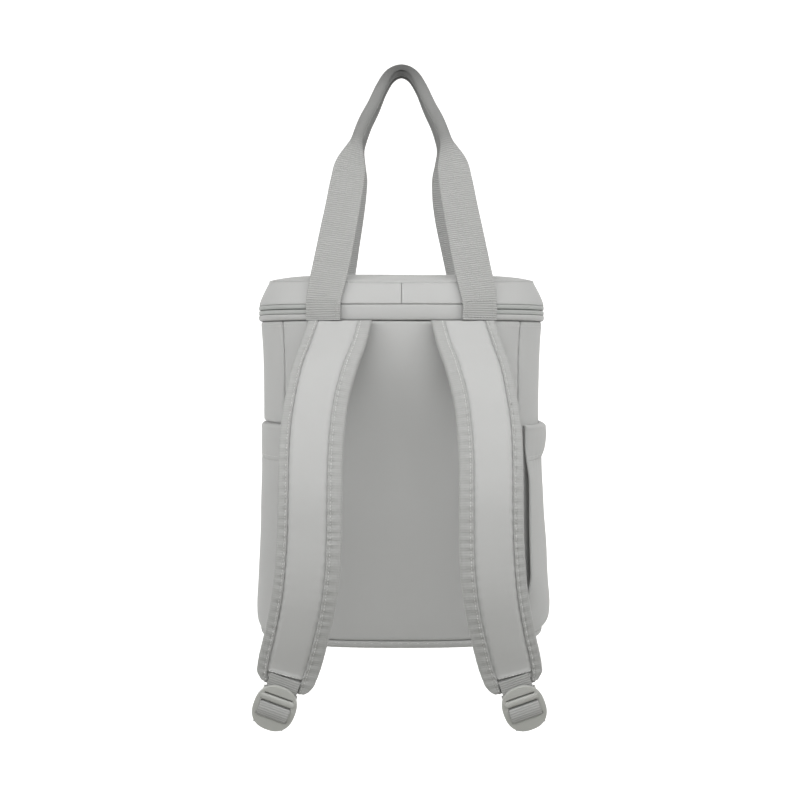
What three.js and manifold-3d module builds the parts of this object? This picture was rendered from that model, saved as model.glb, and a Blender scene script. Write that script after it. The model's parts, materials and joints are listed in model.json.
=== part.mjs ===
// A soft cooler backpack hanging by its two carry handles: an insulated body with a zipped lid, two
// webbing handles folded into grips, two side pockets and two padded shoulder straps that hang in
// front of the wearer's side and end in ladder locks below the base.
// Millimetres, +Z up. The wearer's side faces -Y. Pieces are made with z = 0 at the base's underside,
// and the whole is then lowered so that its origin is the hang point under the two grips.

import * as THREE from "three";
import { mergeVertices } from "three/addons/utils/BufferGeometryUtils.js";
import Module from "manifold-3d";

// Clearance between pieces that are sewn or laid together
const GAP = 0.4;

// Body: padded cloth walls round a soft rectangle
const BODY_WIDTH = 300;
const BODY_DEPTH = 190;
const BODY_HEIGHT = 328;
const WALL = 5;
const BACK_PANEL_WIDTH = 254; // measured along the cloth, seam to seam
const PLAN_RUN_BACK = 0.66; // share of the half width that the back face runs before it turns
const PLAN_RUN_SIDE = 0.8; // share of the half depth that the side runs before it turns
const BINDING_HEIGHT = 6.8;
const BINDING_THICKNESS = 5;
const BINDING_PROUD = 0.8;
const BASE_THICKNESS = 4;

// Rim, zip and lid
const RIM_OVERHANG = 2.6;
const RIM_THICKNESS = 4.5;
const RIM_HEIGHT = 6.2;
const ZIP_TAPE_HEIGHT = 4.4;
const ZIP_TAPE_THICKNESS = 1.5;
const ZIP_COIL_HEIGHT = 3.6;
const ZIP_COIL_THICKNESS = 1.6;
const HINGE_WIDTH = 160; // measured along the cloth
const LID_BAND_HEIGHT = 21;
const LID_BAND_INSET = 11;
const LID_SIDE_LIFT = 4; // how much higher the lid's edge runs at the sides than at the back
const LID_CROWN = 8;
const LID_WALL = 5;
const SLIDER_LENGTH = 11;
const SLIDER_HEIGHT = 8;
const SLIDER_THICKNESS = 3.2;
const PULL_LENGTH = 26;
const PULL_WIDTH = 6.5;
const PULL_THICKNESS = 1.8;

// Carry handles
const HANDLE_WEBBING_WIDTH = 38;
const HANDLE_WEBBING_THICKNESS = 2;
const HANDLE_SPACING = 156; // between the middles of a handle's two legs at the seam
const HANDLE_RISE = 270; // from the seam under the rim to the middle of the grip
const HANDLE_STAND = 1.8; // how far a handle's leg stands off the curve of the rim
const GRIP_WIDTH = 12.5;
const GRIP_THICKNESS = 11;

// Side pockets
const POCKET_CLOTH = 1.6;
const POCKET_HEIGHT = 178;
const HEM_HEIGHT = 36;

// Shoulder straps
const STRAP_WIDTH = 62;
const STRAP_THICKNESS = 11;
const STRAP_EDGE_THICKNESS = 4.4;
const STRAP_BEVEL = 13; // width over which the padding thins to its edge
const STRAP_DROP = 351;
const STRAP_REACH = 84; // how far the pad stands off the back panel
const STRAP_SPREAD = 112; // from the middle of the back to the lower end of a pad
const STRAP_SETTLE = 0.12; // share of its length over which it turns from its seam to its own way
const STRAP_FLAT_LEAST = 0.4; // share of a pad's half width that its bevel always leaves flat
const TRIM_END = 0.985; // share of its length at which the trims stop, where its end rounds off
const TRIM_WIDTH = 10;
const TRIM_THICKNESS = 1.1;
const TAB_WIDTH = 30;
const TAB_THICKNESS = 1.4;
const TAB_LAP = 14; // how far the tab lies on the pad's face
const TAB_REST = 0.95; // share of the pad's length whose face the tab lies on

// Ladder locks: lengths down the lock, from its top edge
const LOCK_WIDTH = 42;
const LOCK_THICKNESS = 3.4;
const LOCK_HEAD = 6.5;
const LOCK_TOP_SLOT = 1.8;
const LOCK_TOP_BAR = 6.7;
const LOCK_MIDDLE_SLOT = 4.2;
const LOCK_LOWER_BAR = 7.4;
const LOCK_LOWER_SLOT = 4.2;
const LOCK_FOOT = 14;
const LOCK_LAP = 5; // how far the lock's head covers the pad's end
const REAR_BAR = 3.2;
const CHEEK = 2.4;
const ADJUST_SEWN = 16;
const ADJUST_FOOT = 4; // from the binding up to the stitched end of the adjusting webbing
const ADJUST_FALL = 5; // how far the webbing falls and stands off where it leaves the cloth
const ADJUST_SAG = 12;
const ADJUST_TAIL = 11;

// Colours and finishes
const CLOTH = new THREE.MeshStandardMaterial({ color: 0xb4b4b1, roughness: 0.8, metalness: 0 });
const SIDE_CLOTH = new THREE.MeshStandardMaterial({ color: 0xb8b8b5, roughness: 0.8, metalness: 0 });
const WEBBING = new THREE.MeshStandardMaterial({ color: 0xacacaa, roughness: 0.9, metalness: 0 });
const ZIP_TAPE = new THREE.MeshStandardMaterial({ color: 0x9ea09f, roughness: 0.7, metalness: 0 });
const PLASTIC = new THREE.MeshStandardMaterial({ color: 0x9a9b96, roughness: 0.45, metalness: 0 });

// Width and depth of the body by height, as shares of its width and depth
const BODY_SECTIONS = [
  { at: 0, width: 0.995, depth: 0.99 },
  { at: 0.08, width: 1, depth: 1.01 },
  { at: 0.35, width: 0.985, depth: 1.035 },
  { at: 0.7, width: 0.98, depth: 1.025 },
  { at: 0.9, width: 0.985, depth: 1.005 },
  { at: 1, width: 1, depth: 1 },
];

// One leg of a handle, from the seam to the top of the grip: rise as a share of HANDLE_RISE,
// spread of HANDLE_SPACING / 2, lean of the way from the rim to the middle of the bag, width of the
// webbing's width, fold from flat webbing (0) to the folded grip (1), and wrap of the rim's turn
const HANDLE_SECTIONS = [
  { at: 0, rise: 0.007, spread: 1, lean: 0, width: 1, fold: 0, wrap: 1 },
  { at: 0.062, rise: 0.066, spread: 0.983, lean: 0.01, width: 1, fold: 0, wrap: 0.95 },
  { at: 0.186, rise: 0.196, spread: 0.923, lean: 0.142, width: 0.99, fold: 0, wrap: 0.6 },
  { at: 0.3, rise: 0.314, spread: 0.85, lean: 0.268, width: 0.97, fold: 0, wrap: 0.35 },
  { at: 0.41, rise: 0.43, spread: 0.78, lean: 0.39, width: 0.95, fold: 0, wrap: 0.15 },
  { at: 0.515, rise: 0.541, spread: 0.72, lean: 0.509, width: 0.93, fold: 0.02, wrap: 0.05 },
  { at: 0.587, rise: 0.614, spread: 0.68, lean: 0.588, width: 0.85, fold: 0.08, wrap: 0 },
  { at: 0.642, rise: 0.67, spread: 0.632, lean: 0.647, width: 0.62, fold: 0.35, wrap: 0 },
  { at: 0.7, rise: 0.73, spread: 0.575, lean: 0.71, width: 0.31, fold: 1, wrap: 0 },
  { at: 0.763, rise: 0.793, spread: 0.494, lean: 0.777, width: 0.32, fold: 1, wrap: 0 },
  { at: 0.826, rise: 0.852, spread: 0.39, lean: 0.84, width: 0.325, fold: 1, wrap: 0 },
  { at: 0.9, rise: 0.93, spread: 0.265, lean: 0.92, width: 0.33, fold: 1, wrap: 0 },
  { at: 0.95, rise: 0.979, spread: 0.152, lean: 0.97, width: 0.33, fold: 1, wrap: 0 },
  { at: 1, rise: 1, spread: 0, lean: 1, width: 0.33, fold: 1, wrap: 0 },
];

// How far a pocket stands off the body by height, as shares of its belly and of its foot. The rows
// lie close together where the foot tucks in
const POCKET_SECTIONS = [
  { at: 0, belly: 0, foot: 0 },
  { at: 0.03, belly: 0.65, foot: 0.8 },
  { at: 0.09, belly: 1, foot: 1 },
  { at: 0.25, belly: 1, foot: 0.45 },
  { at: 0.45, belly: 1, foot: 0.1 },
  { at: 0.75, belly: 0.6, foot: 0 },
  { at: 1, belly: 0.1, foot: 0 },
];

// How far a pocket's hem stands off the body from its stitching up, as a share of its flare
const HEM_SECTIONS = [
  { at: 0, stand: 0.1 },
  { at: 0.2, stand: 0.65 },
  { at: 0.55, stand: 1.05 },
  { at: 0.85, stand: 1 },
  { at: 1, stand: 0.8 },
];

// How far each pocket stands off the body: belly at its middle, foot more near its bottom, flare at
// its hem, and gape at the loose rear edge below the hem
const POCKETS = [
  { name: "left", side: -1, belly: 1, foot: 1.5, flare: 0.8, gape: 1.5 },
  { name: "right", side: 1, belly: 4.8, foot: 2, flare: 6, gape: 7 },
];

// A shoulder strap from its seam to its lower end: drop as a share of STRAP_DROP, reach of
// STRAP_REACH, spread of STRAP_SPREAD, width of STRAP_WIDTH, puff of the full padding, and the
// degrees by which the face turns outward
const STRAP_SECTIONS = [
  { at: 0, drop: 0, reach: 0, spread: 0.548, width: 1.02, puff: 0.35, turn: 10 },
  { at: 0.074, drop: 0.065, reach: 0.18, spread: 0.598, width: 1.03, puff: 0.6, turn: 9 },
  { at: 0.156, drop: 0.134, reach: 0.4, spread: 0.664, width: 1.01, puff: 0.9, turn: 7 },
  { at: 0.245, drop: 0.215, reach: 0.614, spread: 0.716, width: 0.97, puff: 1, turn: 5 },
  { at: 0.325, drop: 0.294, reach: 0.761, spread: 0.744, width: 0.97, puff: 1, turn: 4 },
  { at: 0.4, drop: 0.372, reach: 0.875, spread: 0.753, width: 0.955, puff: 1, turn: 3 },
  { at: 0.497, drop: 0.475, reach: 0.977, spread: 0.752, width: 0.95, puff: 1, turn: 3 },
  { at: 0.593, drop: 0.58, reach: 1, spread: 0.755, width: 0.955, puff: 1, turn: 3 },
  { at: 0.665, drop: 0.66, reach: 0.989, spread: 0.768, width: 0.965, puff: 1, turn: 3 },
  { at: 0.741, drop: 0.741, reach: 0.943, spread: 0.797, width: 0.96, puff: 1, turn: 3 },
  { at: 0.852, drop: 0.856, reach: 0.815, spread: 0.872, width: 0.95, puff: 0.95, turn: 3 },
  { at: 0.945, drop: 0.949, reach: 0.71, spread: 0.949, width: 0.92, puff: 0.7, turn: 3 },
  { at: 0.978, drop: 0.98, reach: 0.685, spread: 0.977, width: 0.84, puff: 0.6, turn: 3 },
  { at: 1, drop: 1, reach: 0.672, spread: 1, width: 0.62, puff: 0.5, turn: 3 },
];

// The two straps differ a little: sway moves a strap's lower end away from the middle
const STRAPS = [
  { name: "left", side: -1, sway: 2 },
  { name: "right", side: 1, sway: -2 },
];

// Turns a table of rows into a function that reads every column smoothly at a share.
function tableReader(rows) {
  const columns = Object.keys(rows[0]).filter((name) => name !== "at");
  const positions = rows.map((row) => row.at);
  const samples = rows.flatMap((row) => columns.map((name) => row[name]));
  const result = new Float64Array(columns.length);
  const curve = new THREE.CubicInterpolant(positions, samples, columns.length, result);
  return (share) => {
    const read = curve.evaluate(THREE.MathUtils.clamp(share, 0, 1));
    return Object.fromEntries(columns.map((name, i) => [name, read[i]]));
  };
}

const bodySection = tableReader(BODY_SECTIONS);
const handleSection = tableReader(HANDLE_SECTIONS);
const pocketSection = tableReader(POCKET_SECTIONS);
const hemSection = tableReader(HEM_SECTIONS);
const strapSection = tableReader(STRAP_SECTIONS);

// The outline of the body seen from above, from the middle of the back round by +X.
function planPath(width, depth) {
  const a = width / 2;
  const b = depth / 2;
  const runX = a * PLAN_RUN_BACK;
  const runY = b * PLAN_RUN_SIDE;
  return new THREE.Path()
    .moveTo(0, -b)
    .bezierCurveTo(runX, -b, a, -runY, a, 0)
    .bezierCurveTo(a, runY, runX, b, 0, b)
    .bezierCurveTo(-runX, b, -a, runY, -a, 0)
    .bezierCurveTo(-a, -runY, -runX, -b, 0, -b);
}

const bodyPlan = planPath(BODY_WIDTH, BODY_DEPTH);
const PERIMETER = bodyPlan.getLength();
const QUARTER = PERIMETER / 4;

// The point of the body's outline at a length along it, moved outward by an offset.
function alongPlan(length, offset = 0) {
  const share = THREE.MathUtils.euclideanModulo(length / PERIMETER, 1);
  const point = bodyPlan.getPoint(share);
  const tangent = bodyPlan.getTangent(share);
  return new THREE.Vector2(point.x + tangent.y * offset, point.y - tangent.x * offset);
}

// The direction along the outline at a length from the middle of the back.
function planDirection(length) {
  const share = THREE.MathUtils.euclideanModulo(length / PERIMETER, 1);
  const tangent = bodyPlan.getTangent(share);
  return new THREE.Vector3(tangent.x, tangent.y, 0);
}

// The point of the body's outer face at a length round it from the middle of the back.
function bodyPoint(length, z, offset = 0) {
  const { width, depth } = bodySection(z / BODY_HEIGHT);
  const outline = alongPlan(length);
  const moved = alongPlan(length, offset).sub(outline);
  return new THREE.Vector3(outline.x * width + moved.x, outline.y * depth + moved.y, z);
}

// The same on the rim and lid, which keep the plan's full size.
function topPoint(length, z, offset) {
  const point = alongPlan(length, offset);
  return new THREE.Vector3(point.x, point.y, z);
}

// Shares from 0 to 1, ends included.
function shares(steps) {
  return Array.from({ length: steps + 1 }, (_, i) => i / steps);
}

// Turns a geometry's faces round where they point inward.
function facingOut(geometry) {
  const index = geometry.index.array;
  const corner = (i) => new THREE.Vector3().fromBufferAttribute(geometry.attributes.position, i);
  let volume = 0;
  for (let i = 0; i < index.length; i += 3) {
    volume += corner(index[i]).dot(corner(index[i + 1]).cross(corner(index[i + 2])));
  }
  if (volume < 0) {
    for (let i = 0; i < index.length; i += 3) {
      [index[i + 1], index[i + 2]] = [index[i + 2], index[i + 1]];
    }
  }
  geometry.computeVertexNormals();
  return geometry;
}

// Triangles that fill a ring of points, laid to and fro between its two ends.
function fillRing(count) {
  const triangles = [];
  let [low, high] = [0, count - 1];
  while (high - low > 1) {
    triangles.push([low, low + 1, high]);
    low += 1;
    if (high - low > 1) {
      triangles.push([low, high - 1, high]);
      high -= 1;
    }
  }
  return triangles;
}

// A closed solid through rings of points.
function loft(rings) {
  const count = rings[0].length;
  const indices = [];
  for (let i = 0; i + 1 < rings.length; i += 1) {
    for (let j = 0; j < count; j += 1) {
      const next = (j + 1) % count;
      const near = i * count;
      const far = near + count;
      indices.push(near + j, near + next, far + next, near + j, far + next, far + j);
    }
  }
  const end = (rings.length - 1) * count;
  for (const [a, b, c] of fillRing(count)) {
    indices.push(a, c, b, end + a, end + b, end + c);
  }
  const geometry = new THREE.BufferGeometry().setFromPoints(rings.flat());
  geometry.setIndex(new THREE.BufferAttribute(new Uint32Array(indices), 1));
  return facingOut(geometry);
}

// A strip that runs round the body: a section of (offset outward, height) pairs is carried from one
// length round the body to another.
function stripRound(section, from, to, steps, place) {
  const rings = shares(steps).map((share) => {
    const length = THREE.MathUtils.lerp(from, to, share);
    return section.map(([offset, z]) => place(length, z, offset, share));
  });
  return loft(rings);
}

// A section with an outer and an inner face, both followed at the same shares of the height.
function wallSection(low, high, thickness, steps, lean = () => 0) {
  const heights = steps.map((share) => THREE.MathUtils.lerp(low, high, share));
  const outer = heights.map((z) => [lean(z), z]);
  const inner = heights.map((z) => [lean(z) - thickness, z]).reverse();
  return [...outer, ...inner];
}

// A plain flat band between two heights, whose outer face stands at an offset.
function bandSection(low, high, face, thickness) {
  return [
    [face, low],
    [face, high],
    [face - thickness, high],
    [face - thickness, low],
  ];
}

const meshes = [];
function addMesh(name, geometry, material) {
  const mesh = new THREE.Mesh(geometry, material);
  mesh.name = name;
  meshes.push(mesh);
  return mesh;
}

// Body walls: a back and a front panel between their seams, and a panel on each side
const BODY_FOOT = BINDING_HEIGHT + GAP;
const BACK_SEAM = BACK_PANEL_WIDTH / 2;
const FRONT_SEAM = 2 * QUARTER - BACK_SEAM;
const WALL_PANELS = [
  { name: "back_panel", from: -BACK_SEAM, to: BACK_SEAM, steps: 12, material: CLOTH },
  { name: "side_panel_right", from: BACK_SEAM, to: FRONT_SEAM, steps: 8, material: SIDE_CLOTH },
  { name: "front_panel", from: FRONT_SEAM, to: PERIMETER - FRONT_SEAM, steps: 12, material: CLOTH },
  { name: "side_panel_left", from: -FRONT_SEAM, to: -BACK_SEAM, steps: 8, material: SIDE_CLOTH },
];
const wall = wallSection(BODY_FOOT, BODY_HEIGHT, WALL, shares(6));
for (const { name, from, to, steps, material } of WALL_PANELS) {
  addMesh(name, stripRound(wall, from + GAP / 2, to - GAP / 2, steps, bodyPoint), material);
}

// Base: a padded panel inside a bound edge whose ends meet at the middle of the front
const BINDING_SIDES = 8;
const bindingMiddle = BINDING_PROUD - BINDING_THICKNESS / 2;
const bindingSection = shares(BINDING_SIDES).slice(1).map((share) => {
  const angle = 2 * Math.PI * (share + 0.5 / BINDING_SIDES);
  const reach = 1 / Math.cos(Math.PI / BINDING_SIDES);
  return [
    bindingMiddle + (BINDING_THICKNESS / 2) * reach * Math.cos(angle),
    BINDING_HEIGHT / 2 + (BINDING_HEIGHT / 2) * reach * Math.sin(angle),
  ];
});
const frontMiddle = 2 * QUARTER;
addMesh(
  "base_binding",
  stripRound(
    bindingSection,
    frontMiddle + GAP / 2,
    frontMiddle + PERIMETER - GAP / 2,
    40,
    (length, z, offset) => bodyPoint(length, BODY_FOOT, offset).setZ(z),
  ),
  CLOTH,
);

const baseInset = BINDING_THICKNESS - BINDING_PROUD + GAP;
const baseShape = new THREE.Shape(
  shares(40).slice(1).map((share) => {
    const point = bodyPoint(share * PERIMETER, BODY_FOOT, -baseInset);
    return new THREE.Vector2(point.x, point.y);
  }),
);
addMesh(
  "base_panel",
  new THREE.ExtrudeGeometry(baseShape, { depth: BASE_THICKNESS, bevelEnabled: false }),
  CLOTH,
);

// Rim: a sewn band under the zip, from one end of the hinge round by the front to the other
const HINGE_HALF = HINGE_WIDTH / 2;
const RIM_LOW = BODY_HEIGHT + GAP;
const RIM_TOP = RIM_LOW + RIM_HEIGHT;
const RIM_INNER = RIM_OVERHANG - RIM_THICKNESS;
const rimSection = [
  [RIM_OVERHANG * 0.6, RIM_LOW],
  [RIM_OVERHANG, RIM_LOW + RIM_HEIGHT * 0.35],
  [RIM_OVERHANG, RIM_TOP],
  [RIM_INNER, RIM_TOP],
  [RIM_INNER, RIM_LOW],
];
const aroundFront = [HINGE_HALF + GAP, PERIMETER - HINGE_HALF - GAP, 34, topPoint];
addMesh("rim_band", stripRound(rimSection, ...aroundFront), SIDE_CLOTH);

// Zip: two tapes that meet edge to edge in front of the coil
const ZIP_LOW = RIM_TOP + GAP;
const ZIP_MIDDLE = ZIP_LOW + ZIP_TAPE_HEIGHT + GAP / 2;
const ZIP_TOP = ZIP_MIDDLE + GAP / 2 + ZIP_TAPE_HEIGHT;
const lowerTape = bandSection(ZIP_LOW, ZIP_MIDDLE - GAP / 2, RIM_OVERHANG, ZIP_TAPE_THICKNESS);
const upperTape = bandSection(ZIP_MIDDLE + GAP / 2, ZIP_TOP, RIM_OVERHANG, ZIP_TAPE_THICKNESS);
const coilFace = RIM_OVERHANG - ZIP_TAPE_THICKNESS - GAP;
const coilLow = ZIP_MIDDLE - ZIP_COIL_HEIGHT / 2;
const coil = bandSection(coilLow, coilLow + ZIP_COIL_HEIGHT, coilFace, ZIP_COIL_THICKNESS);
addMesh("zip_tape_lower", stripRound(lowerTape, ...aroundFront), ZIP_TAPE);
addMesh("zip_tape_upper", stripRound(upperTape, ...aroundFront), ZIP_TAPE);
addMesh("zip_coil", stripRound(coil, ...aroundFront), ZIP_TAPE);

// Lid: a cloth hinge at the back, a sloped side band joined at the middle of the back, and a
// crowned top panel
const hingeSection = [
  [RIM_OVERHANG * 0.6, RIM_LOW],
  [RIM_OVERHANG, RIM_LOW + RIM_HEIGHT * 0.35],
  [RIM_OVERHANG, ZIP_TOP],
  [RIM_INNER, ZIP_TOP],
  [RIM_INNER, RIM_LOW],
];
addMesh("lid_hinge", stripRound(hingeSection, -HINGE_HALF, HINGE_HALF, 10, topPoint), SIDE_CLOTH);

const LID_LOW = ZIP_TOP + GAP;
const LID_EDGE = LID_LOW + LID_BAND_HEIGHT;
const bandShare = (z) => (z - LID_LOW) / LID_BAND_HEIGHT;
const lidLean = (z) => RIM_OVERHANG - LID_BAND_INSET * bandShare(z) ** 1.3;
const sideLift = (length) => LID_SIDE_LIFT * (alongPlan(length).x / (BODY_WIDTH / 2)) ** 2;
const lidBandPoint = (length, z, offset) => {
  return topPoint(length, z + sideLift(length) * bandShare(z), offset);
};
const sideBand = wallSection(LID_LOW, LID_EDGE, LID_WALL, shares(3), lidLean);
addMesh(
  "lid_side_band",
  stripRound(sideBand, GAP / 2, PERIMETER - GAP / 2, 40, lidBandPoint),
  SIDE_CLOTH,
);

// The top panel is turned on a unit circle and then spread over the lid's outline.
function lidTopPanel() {
  const low = LID_EDGE + GAP;
  const edgeThickness = LID_WALL * 0.35;
  const crown = (r) => LID_CROWN * (1 - r ** 2.2);
  const thickness = (r) => THREE.MathUtils.lerp(LID_WALL, edgeThickness, r ** 8);
  const radii = shares(4);
  const underside = radii.map((r) => new THREE.Vector2(r, low + crown(r)));
  const top = radii.map((r) => new THREE.Vector2(r, low + crown(r) + thickness(r)));
  const turned = new THREE.LatheGeometry([...underside, ...top.reverse()], 36);
  const position = turned.attributes.position;
  for (let i = 0; i < position.count; i += 1) {
    const flat = new THREE.Vector2(position.getX(i), position.getZ(i));
    const length = (flat.angle() / (2 * Math.PI)) * PERIMETER;
    const radius = flat.length();
    const outline = alongPlan(length, RIM_OVERHANG - LID_BAND_INSET).multiplyScalar(radius);
    const z = position.getY(i) + sideLift(length) * radius ** 2;
    position.setXYZ(i, outline.x, outline.y, z);
  }
  turned.deleteAttribute("normal");
  turned.deleteAttribute("uv");
  return facingOut(mergeVertices(turned, 1e-3));
}
addMesh("lid_top_panel", lidTopPanel(), CLOTH);

// Joins of plain solids
const wasm = await Module();
wasm.setup();

function solidFrom(geometry) {
  const bare = geometry.index ? geometry.toNonIndexed() : geometry.clone();
  bare.deleteAttribute("normal");
  bare.deleteAttribute("uv");
  const merged = mergeVertices(bare, 1e-3);
  return new wasm.Manifold(
    new wasm.Mesh({
      numProp: 3,
      vertProperties: merged.attributes.position.array,
      triVerts: new Uint32Array(merged.index.array),
    }),
  );
}

function joined(...geometries) {
  const mesh = geometries.map(solidFrom).reduce((sum, solid) => sum.add(solid)).getMesh();
  const geometry = new THREE.BufferGeometry();
  geometry.setAttribute("position", new THREE.BufferAttribute(mesh.vertProperties, 3));
  geometry.setIndex(new THREE.BufferAttribute(mesh.triVerts, 1));
  geometry.computeVertexNormals();
  return geometry;
}

// Zip sliders: a plain body over the tapes with its pull hanging down
const frontFace = alongPlan(frontMiddle, RIM_OVERHANG).y;
for (const { name, side } of STRAPS) {
  const body = new THREE.BoxGeometry(SLIDER_LENGTH, SLIDER_THICKNESS, SLIDER_HEIGHT);
  const pull = new THREE.BoxGeometry(PULL_WIDTH, PULL_THICKNESS, PULL_LENGTH);
  const sunk = PULL_THICKNESS / 4;
  pull.translate(
    0,
    SLIDER_THICKNESS / 2 + PULL_THICKNESS / 2 - sunk,
    SLIDER_HEIGHT / 4 - PULL_LENGTH / 2,
  );
  const slider = addMesh(`zip_slider_${name}`, joined(body, pull), PLASTIC);
  const clearOfTape = frontFace + GAP + SLIDER_THICKNESS / 2;
  slider.position.set(side * (SLIDER_LENGTH / 2 + GAP), clearOfTape, ZIP_MIDDLE);
}

// A ring of points about a place on a piece, from its flat outline across and out of its face.
function ringAt(place, across, out, outline) {
  return outline.map((p) => place.clone().addScaledVector(across, p.x).addScaledVector(out, p.y));
}

// Carry handles. Each is one length of webbing: two flat legs and a folded grip between them.
const LEG_FACE = -alongPlan(HANDLE_SPACING / 2, RIM_OVERHANG).y;
const LEG_STAND = LEG_FACE + HANDLE_WEBBING_THICKNESS / 2 + HANDLE_STAND;
const RIM_DIRECTION = planDirection(HANDLE_SPACING / 2);
const RIM_TURN = Math.atan2(RIM_DIRECTION.y, RIM_DIRECTION.x);
const GRIP_MIDDLE = GRIP_THICKNESS / 2 + GAP / 2;
const GRIP_TOP = RIM_LOW + HANDLE_RISE;

// Eight points: flat webbing with small corners, which turns into an oval as it folds
function handleOutline(width, thickness, fold) {
  const [x, y] = [width / 2, thickness / 2];
  const cornerX = THREE.MathUtils.lerp(0.96, 0.55, fold) * x;
  const cornerY = THREE.MathUtils.lerp(0.5, 0.55, fold) * y;
  return [
    [x, -cornerY], [x, cornerY], [cornerX, y], [-cornerX, y],
    [-x, cornerY], [-x, -cornerY], [-cornerX, -y], [cornerX, -y],
  ].map(([px, py]) => new THREE.Vector2(px, py));
}

// Half of a handle, from the seam to the middle of its grip, on the +X side
function handleLeg(side) {
  return shares(22).map((share) => {
    const { rise, spread, lean, width, fold, wrap } = handleSection(share);
    const folded = THREE.MathUtils.clamp(fold, 0, 1);
    return {
      place: new THREE.Vector3(
        (spread * HANDLE_SPACING) / 2,
        side * THREE.MathUtils.lerp(LEG_STAND, GRIP_MIDDLE, lean),
        RIM_LOW + rise * HANDLE_RISE,
      ),
      width: THREE.MathUtils.lerp(width * HANDLE_WEBBING_WIDTH, GRIP_WIDTH, folded),
      thickness: THREE.MathUtils.lerp(HANDLE_WEBBING_THICKNESS, GRIP_THICKNESS, folded),
      folded,
      turn: wrap * RIM_TURN,
    };
  });
}

function handle(side) {
  const leg = handleLeg(side);
  const mirrored = leg.slice(0, -1).reverse().map((row) => {
    return { ...row, place: row.place.clone().setX(-row.place.x), turn: -row.turn };
  });
  const rows = [...leg, ...mirrored];
  const rings = rows.map(({ place, width, thickness, folded, turn }, i) => {
    const before = rows[Math.max(i - 1, 0)].place;
    const after = rows[Math.min(i + 1, rows.length - 1)].place;
    const tangent = after.clone().sub(before).normalize();
    const out = new THREE.Vector3(Math.sin(turn), side * Math.cos(turn), 0);
    out.addScaledVector(tangent, -out.dot(tangent)).normalize();
    const across = out.clone().cross(tangent);
    return ringAt(place, across, out, handleOutline(width, thickness, folded));
  });
  return loft(rings);
}
addMesh("handle_back", handle(-1), WEBBING);
addMesh("handle_front", handle(1), WEBBING);

// Side pockets: a slack cloth panel and an elastic hem above it, both sewn to the body's side
const POCKET_TOP = BODY_FOOT + POCKET_HEIGHT;
const POCKET_STEPS = [0, 0.03, 0.09, 0.22, 0.4, 0.6, 0.8, 1];
for (const { name, side, belly, foot, flare, gape } of POCKETS) {
  const rear = side * (BACK_SEAM + GAP);
  const front = side * (FRONT_SEAM - GAP);
  const bulge = (share) => Math.sin(Math.PI * share) ** 0.7;
  const pocketPlace = (length, z, offset, share) => {
    const height = (z - BODY_FOOT) / POCKET_HEIGHT;
    const section = pocketSection(height);
    const loose = Math.sin(Math.PI * THREE.MathUtils.clamp(height, 0, 1)) ** 0.8;
    const rearOpen = gape * loose * Math.max(0, 1 - share * 4) ** 2;
    const stand = (belly * section.belly + foot * section.foot) * bulge(share);
    return bodyPoint(length, z, GAP + POCKET_CLOTH + stand + rearOpen + offset);
  };
  const hemPlace = (length, z, offset, share) => {
    const stand = flare * hemSection((z - POCKET_TOP) / HEM_HEIGHT).stand * bulge(share);
    return bodyPoint(length, z, GAP + POCKET_CLOTH + stand + offset);
  };
  const panel = wallSection(BODY_FOOT, POCKET_TOP - GAP, POCKET_CLOTH, POCKET_STEPS);
  const hem = wallSection(POCKET_TOP, POCKET_TOP + HEM_HEIGHT, POCKET_CLOTH, shares(4));
  addMesh(`pocket_${name}`, stripRound(panel, rear, front, 14, pocketPlace), SIDE_CLOTH);
  addMesh(`pocket_hem_${name}`, stripRound(hem, rear, front, 14, hemPlace), SIDE_CLOTH);
}

// Shoulder straps. strapFrame gives the middle of a pad, the way down it, across it and out of its
// face at a share of its length.
const STRAP_TOP = BODY_HEIGHT;

// Half of a pad's outline: its half width, edge and half thickness at a share of its length
function padSizes(share) {
  const { width, puff } = strapSection(share);
  const half = (width * STRAP_WIDTH) / 2 - TRIM_THICKNESS - GAP;
  const edge = (STRAP_EDGE_THICKNESS / 2) * Math.min(1, puff + 0.3);
  return { half, edge, thick: Math.max((STRAP_THICKNESS / 2) * puff, edge) };
}

function strapPlace(share, { side, sway }) {
  const { drop, reach, spread } = strapSection(share);
  const face = bodyPoint(strapSection(0).spread * STRAP_SPREAD, BODY_HEIGHT).y;
  return new THREE.Vector3(
    side * (spread * STRAP_SPREAD + sway * share),
    face - GAP - TRIM_THICKNESS - padSizes(share).thick - reach * STRAP_REACH,
    STRAP_TOP - drop * STRAP_DROP,
  );
}

function strapFrame(share, strap) {
  const step = 0.004;
  const place = strapPlace(share, strap);
  const down = strapPlace(Math.min(share + step, 1), strap)
    .sub(strapPlace(Math.max(share - step, 0), strap))
    .normalize();
  const held = Math.max(0, 1 - share / STRAP_SETTLE) ** 1.5;
  down.lerp(new THREE.Vector3(0, 0, -1), held).normalize();
  const across = new THREE.Vector3(strap.side, 0, 0);
  across.addScaledVector(down, -across.dot(down)).normalize();
  const turn = THREE.MathUtils.degToRad(strapSection(share).turn);
  across.applyAxisAngle(down, -strap.side * turn);
  const out = across.clone().cross(down).multiplyScalar(-strap.side);
  return { place, down, across, out };
}

const bevelOf = (half) => Math.min(STRAP_BEVEL, half * (1 - STRAP_FLAT_LEAST));

function padOutline({ half, edge, thick }) {
  const flat = half - bevelOf(half);
  return [
    [half, -edge], [half, edge], [flat, thick], [-flat, thick],
    [-half, edge], [-half, -edge], [-flat, -thick], [flat, -thick],
  ].map(([x, y]) => new THREE.Vector2(x, y));
}

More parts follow.
